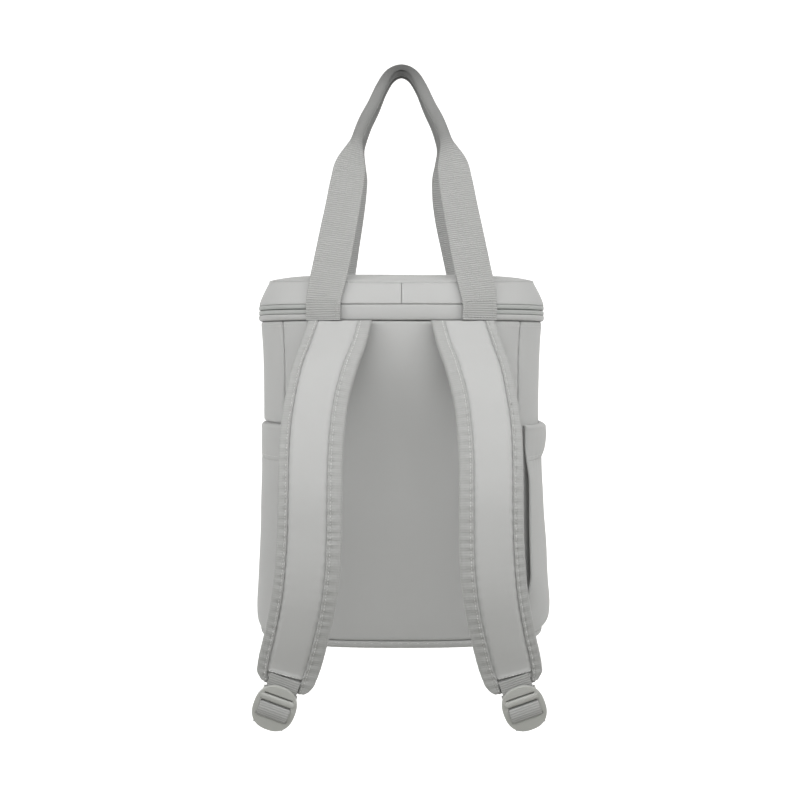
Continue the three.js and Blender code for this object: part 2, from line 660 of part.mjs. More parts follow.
// The binding on one edge of a pad: it lies on the face, turns round the edge and lies on the back.
function trimOutline({ half, edge, thick }, sign) {
  const bevel = bevelOf(half);
  const lap = Math.min(TRIM_WIDTH, bevel * 0.9, half - TAB_WIDTH / 2 - 2 * GAP);
  const lapHeight = edge + ((thick - edge) * lap) / bevel;
  const near = GAP;
  const far = GAP + TRIM_THICKNESS;
  const outline = [
    [half - lap, lapHeight + near], [half + near, edge + near], [half + near, -edge - near],
    [half - lap, -lapHeight - near], [half - lap, -lapHeight - far], [half + far, -edge - far],
    [half + far, edge + far], [half - lap, lapHeight + far],
  ].map(([x, y]) => new THREE.Vector2(sign * x, y));
  // Both trims run the same way round as the pad, so that their facets lie along its own
  return sign > 0 ? outline.reverse() : outline;
}

// A webbing ribbon of constant thickness along points, each with its own direction across.
function ribbon(points, width, thickness) {
  const rings = points.map(({ place, across }, i) => {
    const flat = (v) => v.addScaledVector(across, -v.dot(across)).normalize();
    const before = points[Math.max(i - 1, 0)].place;
    const after = points[Math.min(i + 1, points.length - 1)].place;
    const ways = [place.clone().sub(before), after.clone().sub(place)];
    const [into, onward = into] = ways.filter((v) => v.lengthSq() > 0).map(flat);
    const tangent = into.clone().add(onward).normalize();
    const miter = 1 / Math.max(tangent.dot(into), 0.6);
    const out = across.clone().cross(tangent).multiplyScalar((thickness / 2) * miter);
    const side = across.clone().multiplyScalar(width / 2);
    return [
      place.clone().add(side).add(out),
      place.clone().sub(side).add(out),
      place.clone().sub(side).sub(out),
      place.clone().add(side).sub(out),
    ];
  });
  return loft(rings);
}

// Ladder lock: a plate with three slots, and a bar behind its head that the tab loops round. In its
// own frame +Y runs down the lock and +Z points to the bag.
const TOP_SLOT_START = LOCK_HEAD;
const TOP_BAR_START = TOP_SLOT_START + LOCK_TOP_SLOT;
const MIDDLE_SLOT_START = TOP_BAR_START + LOCK_TOP_BAR;
const LOWER_BAR_START = MIDDLE_SLOT_START + LOCK_MIDDLE_SLOT;
const LOWER_SLOT_START = LOWER_BAR_START + LOCK_LOWER_BAR;
const FOOT_START = LOWER_SLOT_START + LOCK_LOWER_SLOT;
const LOCK_LENGTH = FOOT_START + LOCK_FOOT;
const SLOT_WIDTH = TAB_WIDTH + 1.6;

// The adjusting webbing's middle, along the cloth from the middle of the back
const ADJUST_CORNER = BACK_SEAM - TAB_WIDTH / 2 - 2 * GAP;

// Heights out of the lock's middle plane, positive to the front
const TAB_HALF = TAB_THICKNESS / 2;
const CLEAR = GAP + TAB_HALF; // from a bar to the middle of the webbing that bends round it
const BEND = CLEAR * Math.SQRT1_2;
const OVER = LOCK_THICKNESS / 2 + CLEAR;
const REAR_BAR_FRONT = -OVER - TAB_HALF - GAP;
const REAR_BAR_BACK = REAR_BAR_FRONT - REAR_BAR;
const REAR_LAYER = REAR_BAR_BACK - GAP - TAB_HALF;
const REAR_BAR_START = LOCK_LAP + 2 * GAP + TAB_THICKNESS;
const REAR_BAR_END = REAR_BAR_START + REAR_BAR;

function lockGeometry() {
  const half = LOCK_WIDTH / 2;
  const shape = new THREE.Shape();
  shape.moveTo(-half * 0.7, LOCK_LENGTH * 0.02);
  shape.quadraticCurveTo(0, -LOCK_LENGTH * 0.02, half * 0.7, LOCK_LENGTH * 0.02);
  shape.quadraticCurveTo(half, LOCK_LENGTH * 0.06, half, LOCK_LENGTH * 0.35);
  shape.quadraticCurveTo(half, LOCK_LENGTH * 0.68, half * 0.9, LOCK_LENGTH * 0.82);
  shape.quadraticCurveTo(half * 0.72, LOCK_LENGTH, 0, LOCK_LENGTH);
  shape.quadraticCurveTo(-half * 0.72, LOCK_LENGTH, -half * 0.9, LOCK_LENGTH * 0.82);
  shape.quadraticCurveTo(-half, LOCK_LENGTH * 0.68, -half, LOCK_LENGTH * 0.35);
  shape.quadraticCurveTo(-half, LOCK_LENGTH * 0.06, -half * 0.7, LOCK_LENGTH * 0.02);
  const slots = [
    [TOP_SLOT_START, LOCK_TOP_SLOT],
    [MIDDLE_SLOT_START, LOCK_MIDDLE_SLOT],
    [LOWER_SLOT_START, LOCK_LOWER_SLOT],
  ];
  for (const [start, height] of slots) {
    const slot = new THREE.Path();
    slot.moveTo(-SLOT_WIDTH / 2, start);
    slot.lineTo(SLOT_WIDTH / 2, start);
    slot.lineTo(SLOT_WIDTH / 2, start + height);
    slot.lineTo(-SLOT_WIDTH / 2, start + height);
    slot.closePath();
    shape.holes.push(slot);
  }
  const plate = new THREE.ExtrudeGeometry(shape, {
    depth: LOCK_THICKNESS,
    bevelEnabled: false,
    curveSegments: 4,
  }).translate(0, 0, -LOCK_THICKNESS / 2);
  const barMiddle = (REAR_BAR_START + REAR_BAR_END) / 2;
  const bar = new THREE.BoxGeometry(SLOT_WIDTH + 2 * CHEEK, REAR_BAR, REAR_BAR)
    .translate(0, barMiddle, -(REAR_BAR_FRONT + REAR_BAR_BACK) / 2);
  const cheeks = [-1, 1].map((sign) => {
    return new THREE.BoxGeometry(CHEEK, REAR_BAR, -REAR_BAR_BACK)
      .translate((sign * (SLOT_WIDTH + CHEEK)) / 2, barMiddle, -REAR_BAR_BACK / 2);
  });
  return joined(plate, bar, ...cheeks);
}

// The bent way of a webbing over the front of a bar, as pairs of length down and height out
function overBar(start, end) {
  const face = LOCK_THICKNESS / 2;
  return [
    [start - CLEAR, -face],
    [start - CLEAR, face],
    [start - BEND, face + BEND],
    [start, OVER],
    [end, OVER],
    [end + BEND, face + BEND],
    [end + CLEAR, face],
    [end + CLEAR, -face],
  ];
}

// The trims follow a pad's own steps down to where its end rounds off.
const PAD_STEPS = [...shares(24).map((share) => share * (2 * TRIM_END - 1)), TRIM_END, 1];
const TRIM_STEPS = PAD_STEPS.slice(0, -1);

for (const strap of STRAPS) {
  const { name, side } = strap;
  const padRings = PAD_STEPS.map((share) => {
    const { place, across, out } = strapFrame(share, strap);
    return ringAt(place, across, out, padOutline(padSizes(share)));
  });
  addMesh(`strap_pad_${name}`, loft(padRings), CLOTH);
  for (const [edge, sign] of [["inner", -1], ["outer", 1]]) {
    const rings = TRIM_STEPS.map((share) => {
      const { place, across, out } = strapFrame(share, strap);
      return ringAt(place, across, out, trimOutline(padSizes(share), sign));
    });
    addMesh(`strap_trim_${edge}_${name}`, loft(rings), WEBBING);
  }

  // The lock hangs in line with the pad, with its head in front of the pad's end.
  const end = strapFrame(1, strap);
  const padFace = padSizes(TAB_REST).thick + GAP + TAB_HALF;
  const lockTop = end.place.clone()
    .addScaledVector(end.down, -LOCK_LAP)
    .addScaledVector(end.out, padFace + OVER);
  const onLock = ([down, out]) => ({
    place: lockTop.clone().addScaledVector(end.down, down).addScaledVector(end.out, out),
    across: end.across,
  });
  const lock = addMesh(`ladder_lock_${name}`, lockGeometry(), PLASTIC);
  const lockX = end.across.clone().multiplyScalar(side);
  const lockZ = lockX.clone().cross(end.down);
  lock.quaternion.setFromRotationMatrix(new THREE.Matrix4().makeBasis(lockX, end.down, lockZ));
  lock.position.copy(lockTop);

  // The tab lies on the pad's face, turns round the bar behind the lock's head and ends below the pad.
  const tabPath = [
    [LOCK_LAP - TAB_LAP, -OVER],
    [REAR_BAR_END, -OVER],
    [REAR_BAR_END + BEND, REAR_BAR_FRONT + BEND],
    [REAR_BAR_END + CLEAR, REAR_BAR_FRONT],
    [REAR_BAR_END + CLEAR, REAR_BAR_BACK],
    [REAR_BAR_END + BEND, REAR_BAR_BACK - BEND],
    [REAR_BAR_END, REAR_LAYER],
    [LOCK_LAP + GAP, REAR_LAYER],
  ].map(onLock);
  addMesh(`strap_tab_${name}`, ribbon(tabPath, TAB_WIDTH, TAB_THICKNESS), WEBBING);

  // The adjusting webbing is sewn above the body's lower corner, hangs back to the lock, passes
  // its middle slot and lower bar from behind and ends in a short tail behind the lock's foot.
  const sewnAcross = planDirection(side * ADJUST_CORNER).multiplyScalar(side);
  const sewnLow = BODY_FOOT + ADJUST_FOOT;
  const sewn = [sewnLow + ADJUST_SEWN, sewnLow].map((z) => ({
    place: bodyPoint(side * ADJUST_CORNER, z, GAP + TAB_HALF),
    across: sewnAcross,
  }));
  const leave = bodyPoint(side * ADJUST_CORNER, sewnLow, ADJUST_FALL).setZ(sewnLow - ADJUST_FALL);
  const arrive = onLock([MIDDLE_SLOT_START - 1, REAR_LAYER - 2]).place;
  const hanging = shares(5).map((share) => ({
    place: leave.clone().lerp(arrive, share)
      .add(new THREE.Vector3(0, 0, -ADJUST_SAG * 4 * share * (1 - share))),
    across: sewnAcross.clone().lerp(end.across, share).normalize(),
  }));
  const threaded = [
    ...overBar(LOWER_BAR_START, LOWER_SLOT_START),
    [FOOT_START, -OVER - GAP],
    [FOOT_START + ADJUST_TAIL, -OVER - GAP],
  ].map(onLock);
  addMesh(
    `adjust_webbing_${name}`,
    ribbon([...sewn, ...hanging, ...threaded], TAB_WIDTH, TAB_THICKNESS),
    WEBBING,
  );
}

// Hung up: the origin is the hang point under the two grips
const hung = new THREE.Group();
hung.add(...meshes);
hung.position.z = GRIP_WIDTH / 2 - GRIP_TOP;

const backpack = new THREE.Group();
backpack.add(hung);

export default backpack;
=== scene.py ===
# %% [markdown]
# A cooler backpack that hangs by its two carry handles, seen from the wearer's side.
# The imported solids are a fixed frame: they give every place and size, and the pieces made here
# dress them in padded cloth, ribbed webbing, binding tape and moulded plastic. Sizes are written in
# millimetres above the base's underside, as they would be on a maker's pattern, and are turned into
# metres from the hang point only when a mesh is made.

# %% Load the fixed frame
import json
import math

import bmesh
import bpy
import numpy as np
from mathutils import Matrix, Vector

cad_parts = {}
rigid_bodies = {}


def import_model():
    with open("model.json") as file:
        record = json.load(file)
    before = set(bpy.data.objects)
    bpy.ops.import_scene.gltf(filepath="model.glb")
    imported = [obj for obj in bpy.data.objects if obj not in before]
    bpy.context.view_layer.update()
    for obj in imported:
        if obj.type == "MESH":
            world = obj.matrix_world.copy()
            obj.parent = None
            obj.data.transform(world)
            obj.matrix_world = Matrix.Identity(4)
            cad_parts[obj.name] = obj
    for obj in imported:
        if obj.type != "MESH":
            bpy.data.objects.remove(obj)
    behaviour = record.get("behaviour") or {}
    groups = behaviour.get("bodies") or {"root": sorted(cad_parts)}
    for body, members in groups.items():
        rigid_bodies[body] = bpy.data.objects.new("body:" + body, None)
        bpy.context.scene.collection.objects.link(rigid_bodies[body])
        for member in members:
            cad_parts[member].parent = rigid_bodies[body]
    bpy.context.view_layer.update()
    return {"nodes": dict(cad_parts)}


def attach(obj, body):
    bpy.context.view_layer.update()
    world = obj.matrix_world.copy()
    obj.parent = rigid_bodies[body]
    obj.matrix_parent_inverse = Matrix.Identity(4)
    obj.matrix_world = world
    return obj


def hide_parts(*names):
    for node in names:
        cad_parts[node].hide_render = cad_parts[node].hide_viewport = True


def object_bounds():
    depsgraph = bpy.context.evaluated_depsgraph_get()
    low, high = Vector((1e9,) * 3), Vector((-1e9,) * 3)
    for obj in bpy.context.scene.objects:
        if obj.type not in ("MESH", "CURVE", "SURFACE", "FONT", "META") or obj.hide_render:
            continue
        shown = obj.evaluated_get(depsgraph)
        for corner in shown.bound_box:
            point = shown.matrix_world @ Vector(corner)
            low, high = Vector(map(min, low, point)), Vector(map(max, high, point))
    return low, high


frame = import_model()
print("solids to dress:", len(frame["nodes"]))

# %% [markdown]
# The pattern of the bag: the same named sizes that the solids were made from. A padded wall follows
# the body's outline, so the outline's width and depth matter most, and then the heights of the seams.
# Values that fit to others are worked out from them with the clearance between sewn pieces.

# %% Sizes of the body and lid
MM = 0.001
GAP = 0.4
SEWN_TOUCH = 0.1
BODY_WIDTH = 300
BODY_DEPTH = 190
BODY_HEIGHT = 328
WALL = 5
PLAN_RUN_BACK = 0.66
PLAN_RUN_SIDE = 0.8
BACK_SEAM = 127
BINDING_HEIGHT = 6.8
BINDING_THICKNESS = 5
BINDING_PROUD = 0.8
BASE_THICKNESS = 4
BODY_FOOT = BINDING_HEIGHT + GAP
RIM_OVERHANG = 2.6
RIM_THICKNESS = 4.5
RIM_HEIGHT = 6.2
ZIP_TAPE_HEIGHT = 4.4
ZIP_TAPE_THICKNESS = 1.5
ZIP_COIL_THICKNESS = 1.6
HINGE_HALF = 80
LID_BAND_HEIGHT = 21
LID_BAND_INSET = 11
LID_SIDE_LIFT = 4
LID_CROWN = 8
LID_WALL = 5
RIM_LOW = BODY_HEIGHT + GAP
RIM_TOP = RIM_LOW + RIM_HEIGHT
RIM_INNER = RIM_OVERHANG - RIM_THICKNESS
ZIP_LOW = RIM_TOP + GAP
ZIP_MIDDLE = ZIP_LOW + ZIP_TAPE_HEIGHT + GAP / 2
ZIP_TOP = ZIP_MIDDLE + GAP / 2 + ZIP_TAPE_HEIGHT
LID_LOW = ZIP_TOP + GAP
LID_EDGE = LID_LOW + LID_BAND_HEIGHT

# %% Sizes of the handles, pockets and straps
HANDLE_WEBBING_WIDTH = 38
HANDLE_WEBBING_THICKNESS = 2
HANDLE_SPACING = 156
HANDLE_RISE = 270
HANDLE_STAND = 1.8
GRIP_WIDTH = 12.5
GRIP_THICKNESS = 11
POCKET_CLOTH = 1.6
POCKET_HEIGHT = 178
HEM_HEIGHT = 36
POCKET_TOP = BODY_FOOT + POCKET_HEIGHT
STRAP_WIDTH = 62
STRAP_THICKNESS = 11
STRAP_EDGE_THICKNESS = 4.4
STRAP_BEVEL = 13
STRAP_DROP = 351
STRAP_REACH = 84
STRAP_SPREAD = 112
STRAP_SETTLE = 0.12
TRIM_THICKNESS = 1.1
TAB_WIDTH = 30
TAB_THICKNESS = 1.4
TAB_LAP = 14
TAB_REST = 0.95
HANG = RIM_LOW + HANDLE_RISE - GRIP_WIDTH / 2
RIB_PITCH = 2.3
print("hang point above the base:", HANG, "mm")

# %% [markdown]
# The camera looks straight and level at the wearer's side, as a product photographer sets it for a
# bag: a 54 mm lens, 1.2 m from the back panel, a little above the bag's middle. Shifting the lens down
# keeps the upright lines upright. Tilting the camera would do the framing as well, but it would lean
# every upright edge.

# %% Camera
PICTURE_SIDE = 800
LENS_DOWN = 56.5
EYE_HEIGHT = 305
CAMERA_PLACE = (-1.5, -1295)
camera_data = bpy.data.cameras.new("Camera")
camera_data.lens = 54
camera_data.sensor_width = 36
camera_data.shift_y = -LENS_DOWN / PICTURE_SIDE
camera_data.clip_end = 20
camera = bpy.data.objects.new("Camera", camera_data)
camera.location = Vector((*CAMERA_PLACE, EYE_HEIGHT - HANG)) * MM
camera.rotation_euler = (math.radians(90), 0, 0)
bpy.context.collection.objects.link(camera)
bpy.context.scene.camera = camera
print("camera stands at", tuple(round(value, 4) for value in camera.location))

# %% [markdown]
# The studio: a pale sweep that runs flat below the bag and rises behind it. Behind the bag it glows
# pure white, as a photographer lights it, and in front it is pale grey, so that it throws little light
# up. One wide softbox hangs above and in front, one stands at each side, and a faint glow comes from
# all round. The alternative is a single sun, but its hard shadows would hide the seams of pale cloth.
# The paper and the sky are built from nodes, so the helpers that wire nodes come first.


# %% A small helper that wires nodes
def node(tree, kind, **settings):
    made = tree.nodes.new("ShaderNode" + kind)
    for key, value in settings.items():
        if hasattr(made, key):
            setattr(made, key, value)
        else:
            made.inputs[key.replace("_", " ")].default_value = value
    return made


def worked_out(tree, kind, a, b):
    made = node(tree, "Math", operation=kind)
    for socket, value in zip(made.inputs, (a, b)):
        if isinstance(value, (int, float)):
            socket.default_value = value
        else:
            tree.links.new(value, socket)
    return made.outputs[0]


def times(tree, a, b):
    return worked_out(tree, "MULTIPLY", a, b)


def plus(tree, a, b):
    return worked_out(tree, "ADD", a, b)


# %% Pale floor and backdrop in one sweep
FLOOR_BELOW = 0.45
SWEEP_BEND = 0.8
SWEEP_BACK = 1.5
SWEEP_TOP = 2.6
SWEEP_FRONT = -3.0
SWEEP_REACH = 4.0


def sweep():
    floor_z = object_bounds()[0].z - FLOOR_BELOW
    bend_start = SWEEP_BACK - SWEEP_BEND
    profile = [(y, floor_z) for y in (SWEEP_FRONT, 0.05, 0.3, bend_start)]
    for turn in np.linspace(0, math.pi / 2, 13)[1:]:
        rise = SWEEP_BEND * (1 - math.cos(turn))
        profile.append((bend_start + SWEEP_BEND * math.sin(turn), floor_z + rise))
    profile.append((SWEEP_BACK, floor_z + SWEEP_TOP))
    mesh = bpy.data.meshes.new("floor_sweep")
    points = [(side * SWEEP_REACH, y, z) for y, z in profile for side in (-1, 1)]
    faces = [(2 * i, 2 * i + 1, 2 * i + 3, 2 * i + 2) for i in range(len(profile) - 1)]
    mesh.from_pydata(points, [], faces)
    mesh.shade_smooth()
    made = bpy.data.objects.new("floor_sweep", mesh)
    bpy.context.collection.objects.link(made)
    return made


floor = sweep()

# %% Paper that is grey in front and glows behind
NEAR_PAPER = (0.62, 0.62, 0.6, 1)
FAR_PAPER = (0.8, 0.8, 0.8, 1)
GLOW_START = 0.1
GLOW_FULL = 0.32
PAPER_GLOW = 0.62
paper = bpy.data.materials.new("sweep_paper")
paper.use_nodes = True
tree = paper.node_tree
paper_shader = tree.nodes["Principled BSDF"]
paper_shader.inputs["Roughness"].default_value = 0.9
paper_shader.inputs["Emission Color"].default_value = (1, 1, 1, 1)
paper_split = node(tree, "SeparateXYZ")
paper_glow = node(tree, "MapRange", From_Min=GLOW_START, From_Max=GLOW_FULL)
paper_tone = node(tree, "Mix", data_type="RGBA")
paper_tone.inputs["A"].default_value = NEAR_PAPER
paper_tone.inputs["B"].default_value = FAR_PAPER
tree.links.new(node(tree, "TexCoord").outputs["Object"], paper_split.inputs["Vector"])
tree.links.new(paper_split.outputs["Y"], paper_glow.inputs["Value"])
tree.links.new(paper_glow.outputs["Result"], paper_tone.inputs["Factor"])
tree.links.new(paper_tone.outputs["Result"], paper_shader.inputs["Base Color"])
paper_power = times(tree, paper_glow.outputs["Result"], PAPER_GLOW)
tree.links.new(paper_power, paper_shader.inputs["Emission Strength"])
floor.data.materials.append(paper)
print("floor lies", FLOOR_BELOW, "m under the locks")

# %% A glow from all round, brighter above, and the softboxes
SKY_COLOUR = (1, 1, 0.95, 1)
world = bpy.data.worlds.new("studio")
world.use_nodes = True
bpy.context.scene.world = world
tree = world.node_tree
glow = tree.nodes["Background"]
glow.inputs["Color"].default_value = SKY_COLOUR
sky_split = node(tree, "SeparateXYZ")
sky_strength = node(tree, "MapRange", From_Min=-0.6, From_Max=0.9, To_Min=0.06, To_Max=0.42)
tree.links.new(node(tree, "TexCoord").outputs["Generated"], sky_split.inputs["Vector"])
tree.links.new(sky_split.outputs["Z"], sky_strength.inputs["Value"])
tree.links.new(sky_strength.outputs["Result"], glow.inputs["Strength"])


def soft_light(name, place, aim, size, watts):
    data = bpy.data.lights.new(name, "AREA")
    data.shape = "RECTANGLE"
    data.size, data.size_y = size
    data.energy = watts
    light = bpy.data.objects.new(name, data)
    light.location = place
    light.rotation_euler = (Vector(aim) - Vector(place)).to_track_quat("-Z", "Y").to_euler()
    light.visible_camera = False
    bpy.context.collection.objects.link(light)
    return light


soft_light("front_softbox", (0, -1.05, 0.42), (0, 0, -0.28), (1.7, 0.5), 9.7)
for side in (-1, 1):
    soft_light(f"side_softbox_{side}", (side * 1.3, -0.85, 0.28), (0, 0, -0.3), (0.8, 0.8), 8)
bpy.context.scene.view_settings.view_transform = "Standard"

# %% [markdown]
# Reading the pattern. A table of sections gives a few rows, and a smooth curve reads any place
# between them. The body seen from above is a rounded rectangle of four bent curves; a length measured
# round it from the middle of the back says where a seam lies, as a tape measure on the cloth would.


# %% Smooth tables
def smooth_table(columns, *rows):
    names = columns.split()[1:]
    at = np.array([row[0] for row in rows], float)
    values = np.array([row[1:] for row in rows], float)

    def read(share):
        t = np.clip(np.asarray(share, float), at[0], at[-1])
        right = np.clip(np.searchsorted(at, t, side="right"), 1, len(at) - 1)
        left = right - 1
        before = np.where(left == 0, right, left - 1)
        after = np.where(right == len(at) - 1, left, np.minimum(right + 1, len(at) - 1))
        half = (at[right] - at[left]) / 2
        back = half / (at[left] - at[before])
        on = half / (at[after] - at[right])
        p = (t - at[left]) / (at[right] - at[left])
        weights = (
            (before, -back * p**3 + 2 * back * p**2 - back * p),
            (left, (1 + back) * p**3 - (1.5 + 2 * back) * p**2 + (back - 0.5) * p + 1),
            (right, -(1 + on) * p**3 + (1.5 + on) * p**2 + 0.5 * p),
            (after, on * p**3 - on * p**2),
        )
        total = sum(np.asarray(w)[..., None] * values[i] for i, w in weights)
        return {name: total[..., k] for k, name in enumerate(names)}

    return read


body_section = smooth_table(
    "at width depth",
    (0, 0.995, 0.99),
    (0.08, 1, 1.01),
    (0.35, 0.985, 1.035),
    (0.7, 0.98, 1.025),
    (0.9, 0.985, 1.005),
    (1, 1, 1),
)
print("body at mid height:", {k: round(float(v), 3) for k, v in body_section(0.5).items()})


# %% Lengths, directions and the curves that shapes share
def unit(vectors):
    return vectors / np.linalg.norm(vectors, axis=-1, keepdims=True)


def lengths_along(line):
    return np.concatenate([[0], np.cumsum(np.linalg.norm(np.diff(line, axis=0), axis=1))])


def hill(distance, reach):
    """1 in the middle, falling smoothly to almost 0 at twice the reach."""
    return np.exp(-((distance / reach) ** 2))


def oval(turn, power):
    """Points round an oval, from -1 to 1, which is squarer for a smaller power."""
    x, y = np.cos(turn), np.sin(turn)
    return np.sign(x) * np.abs(x) ** power, np.sign(y) * np.abs(y) ** power


# %% The body's outline from above
def plan_outline(width, depth, samples=400):
    a, b = width / 2, depth / 2
    run_x, run_y = a * PLAN_RUN_BACK, b * PLAN_RUN_SIDE
    quarter = np.array([(0, -b), (run_x, -b), (a, -run_y), (a, 0)])
    share = np.linspace(0, 1, samples)[:, None]
    curve = (
        (1 - share) ** 3 * quarter[0]
        + 3 * (1 - share) ** 2 * share * quarter[1]
        + 3 * (1 - share) * share**2 * quarter[2]
        + share**3 * quarter[3]
    )
    front = curve[::-1] * (1, -1)
    half = np.concatenate([curve[:-1], front])
    return np.concatenate([half[:-1], half[::-1] * (-1, 1)])


PLAN = plan_outline(BODY_WIDTH, BODY_DEPTH)
PLAN_LENGTHS = lengths_along(PLAN)
PERIMETER = PLAN_LENGTHS[-1]
FRONT_MIDDLE = PERIMETER / 2
FRONT_SEAM = FRONT_MIDDLE - BACK_SEAM


def along_plan(length):
    """The outline's point at a length round it, and the direction out of the bag there."""

    def spot(value):
        wrapped = np.mod(value, PERIMETER)
        return np.stack([np.interp(wrapped, PLAN_LENGTHS, PLAN[:, k]) for k in (0, 1)], -1)

    length = np.asarray(length, float)
    way = unit(spot(length + 1) - spot(length - 1))
    return spot(length), np.stack([way[..., 1], -way[..., 0]], -1)


def body_point(length, z, offset=0.0):
    section = body_section(z / BODY_HEIGHT)
    spot, out = along_plan(length)
    x = spot[..., 0] * section["width"] + out[..., 0] * offset
    y = spot[..., 1] * section["depth"] + out[..., 1] * offset
    return np.stack([x, y, z + 0 * x], -1)


def top_point(length, z, offset):
    spot, out = along_plan(length)
    x = spot[..., 0] + out[..., 0] * offset
    return np.stack([x, spot[..., 1] + out[..., 1] * offset, z + 0 * x], -1)


print("round the body:", round(PERIMETER, 1), "mm; side panels are", round(FRONT_SEAM - BACK_SEAM, 1))

# %% [markdown]
# Making meshes. Cloth here is always a grid of points with a second layer behind it, closed round its
# border, so every piece is a true solid that could be printed. A solidify modifier would give the
# same second layer, but not one that thins towards a seam. Every grid also gets its own measure along
# and across the cloth in metres, which the weave of the materials follows.


# %% Grids, shells and tubes
def grid_faces(rows, columns, wrap=False):
    i, j = np.meshgrid(np.arange(rows - 1), np.arange(columns - (not wrap)), indexing="ij")
    near = i * columns + j
    beside = i * columns + (j + 1) % columns
    return np.stack([near, beside, beside + columns, near + columns], -1).reshape(-1, 4).tolist()


def measured(points):
    """Lengths along and across a grid of points, in metres."""
    along = np.linalg.norm(np.diff(points, axis=0), axis=2).mean(axis=1)
    across = np.linalg.norm(np.diff(points, axis=1), axis=2)
    u = np.concatenate([[0], np.cumsum(along)])[:, None] + np.zeros(points.shape[:2])
    v = np.concatenate([np.zeros((len(points), 1)), np.cumsum(across, axis=1)], axis=1)
    return (np.stack([u, v], -1) * MM).reshape(-1, 2)


def shell(outer, inner):
    """A closed sheet between two grids of the same size."""
    rows, columns = outer.shape[:2]
    front = grid_faces(rows, columns)
    count = rows * columns
    behind = [[a + count for a in reversed(face)] for face in front]
    index = np.arange(count).reshape(rows, columns)
    border = [*index[0], *index[1:, -1], *index[-1, -2::-1], *index[-2:0:-1, 0]]
    rim = [
        [int(a), int(a) + count, int(b) + count, int(b)]
        for a, b in zip(border, border[1:] + border[:1])
    ]
    points = np.concatenate([outer.reshape(-1, 3), inner.reshape(-1, 3)])
    uv = measured(outer)
    return points, front + behind + rim, np.concatenate([uv, uv])


def tube(rings):
    """A closed solid through rings of points."""
    rows, columns = rings.shape[:2]
    faces = grid_faces(rows, columns, wrap=True)
    last = (rows - 1) * columns
    faces += [list(range(columns)), list(range(last + columns - 1, last - 1, -1))]
    return rings.reshape(-1, 3), faces, measured(rings)


def together(parts):
    points, faces, uvs, start = [], [], [], 0
    for part_points, part_faces, part_uv in parts:
        points.append(part_points)
        uvs.append(part_uv)
        faces += [[a + start for a in face] for face in part_faces]
        start += len(part_points)
    return np.concatenate(points), faces, np.concatenate(uvs)


# %% From points to a piece that rides on the frame
def sew(name, parts, finish, crease=50, fold_and_shade=None, stitched_to=None):
    """A piece stands for the solid of its name, and a finish has the name of its slot. Stitches stand
    for no solid, so no solid is hidden for them; stitched_to names the cloth that they hold."""
    points, faces, uvs = together(parts)
    mesh = bpy.data.meshes.new(name)
    mesh.from_pydata(((points - (0, 0, HANG)) * MM).tolist(), [], faces)
    corners = np.zeros(len(mesh.loops), int)
    mesh.loops.foreach_get("vertex_index", corners)
    mesh.uv_layers.new(name="Cloth").data.foreach_set("uv", uvs[corners].ravel())
    if fold_and_shade is not None:
        mesh.attributes.new("FoldAndShade", "FLOAT", "POINT").data.foreach_set("value", fold_and_shade)
    work = bmesh.new()
    work.from_mesh(mesh)
    bmesh.ops.recalc_face_normals(work, faces=work.faces)
    work.to_mesh(mesh)
    work.free()
    mesh.shade_smooth()
    mesh.set_sharp_from_angle(angle=math.radians(crease))
    mesh.materials.append(finish)
    made = bpy.data.objects.new(name, mesh)
    bpy.context.collection.objects.link(made)
    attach(made, "root")
    if not stitched_to:
        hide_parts(name)
    size = [round((max(c) - min(c)) / MM) for c in zip(*(v.co for v in mesh.vertices))]
    print(f"{name}: {len(mesh.polygons)} faces, {size} mm")
    return made


# %% Shapes that cloth keeps: eased steps, soft waves and puckers
def ease(share):
    t = np.clip(share, 0, 1)
    return t * t * (3 - 2 * t)


def steps_close_at_ends(count, closeness=0.75):
    t = np.linspace(0, 1, count)
    return t - closeness * np.sin(2 * math.pi * t) / (2 * math.pi)


def soft_waves(u, v, wavelength, seed):
    """Gentle uneven swelling, from -1 to 1, over two measures along the cloth in millimetres."""
    chance = np.random.default_rng(seed)
    total = np.zeros(np.broadcast(u, v).shape)
    for turn, phase, stretch in zip(
        chance.uniform(0, math.pi, 5), chance.uniform(0, 6.28, 5), chance.uniform(0.7, 1.5, 5)
    ):
        pace = 2 * math.pi / (wavelength * stretch)
        total = total + np.sin(pace * (u * math.cos(turn) + v * math.sin(turn)) + phase)
    return total / 5


def puckers(along, away, pitch, reach, seed):
    """Small gathers beside a line of stitches, which fade with the distance from it."""
    uneven = 1.6 * soft_waves(along, 0 * along, 5 * pitch, seed)
    return np.sin(2 * math.pi * along / pitch + 2 * uneven) * np.exp(-np.abs(away) / reach)


def rounded(section, passes=2):
    """A closed outline with its corners cut round."""
    points = np.array(section, float)
    for _ in range(passes):
        following = np.roll(points, -1, axis=0)
        points = np.stack(
            [0.75 * points + 0.25 * following, 0.25 * points + 0.75 * following], 1
        ).reshape(-1, points.shape[1])
    return points


print("a seam's eased steps:", np.round(steps_close_at_ends(6), 3))

# %% [markdown]
# Stitches are real geometry: short capsules of thread that dive into the cloth at both ends. They
# could be a bump texture, but thread that stands up catches the light along a seam and casts its own
# small shadow, which is what tells the eye that a strap is sewn.


# %% A row of stitches along a line
STITCH_PITCH = 3.3
STITCH_LONG = 2.6
STITCH_RADIUS = 0.3
THREAD_SIDES = 6
THREAD_DIVE = ((-0.5, 0.3, -0.9), (-0.36, 0.95, -0.1))
THREAD_STATIONS = (*THREAD_DIVE, (0, 1, 0.15), (0.36, 0.95, -0.1), (0.5, 0.3, -0.9))


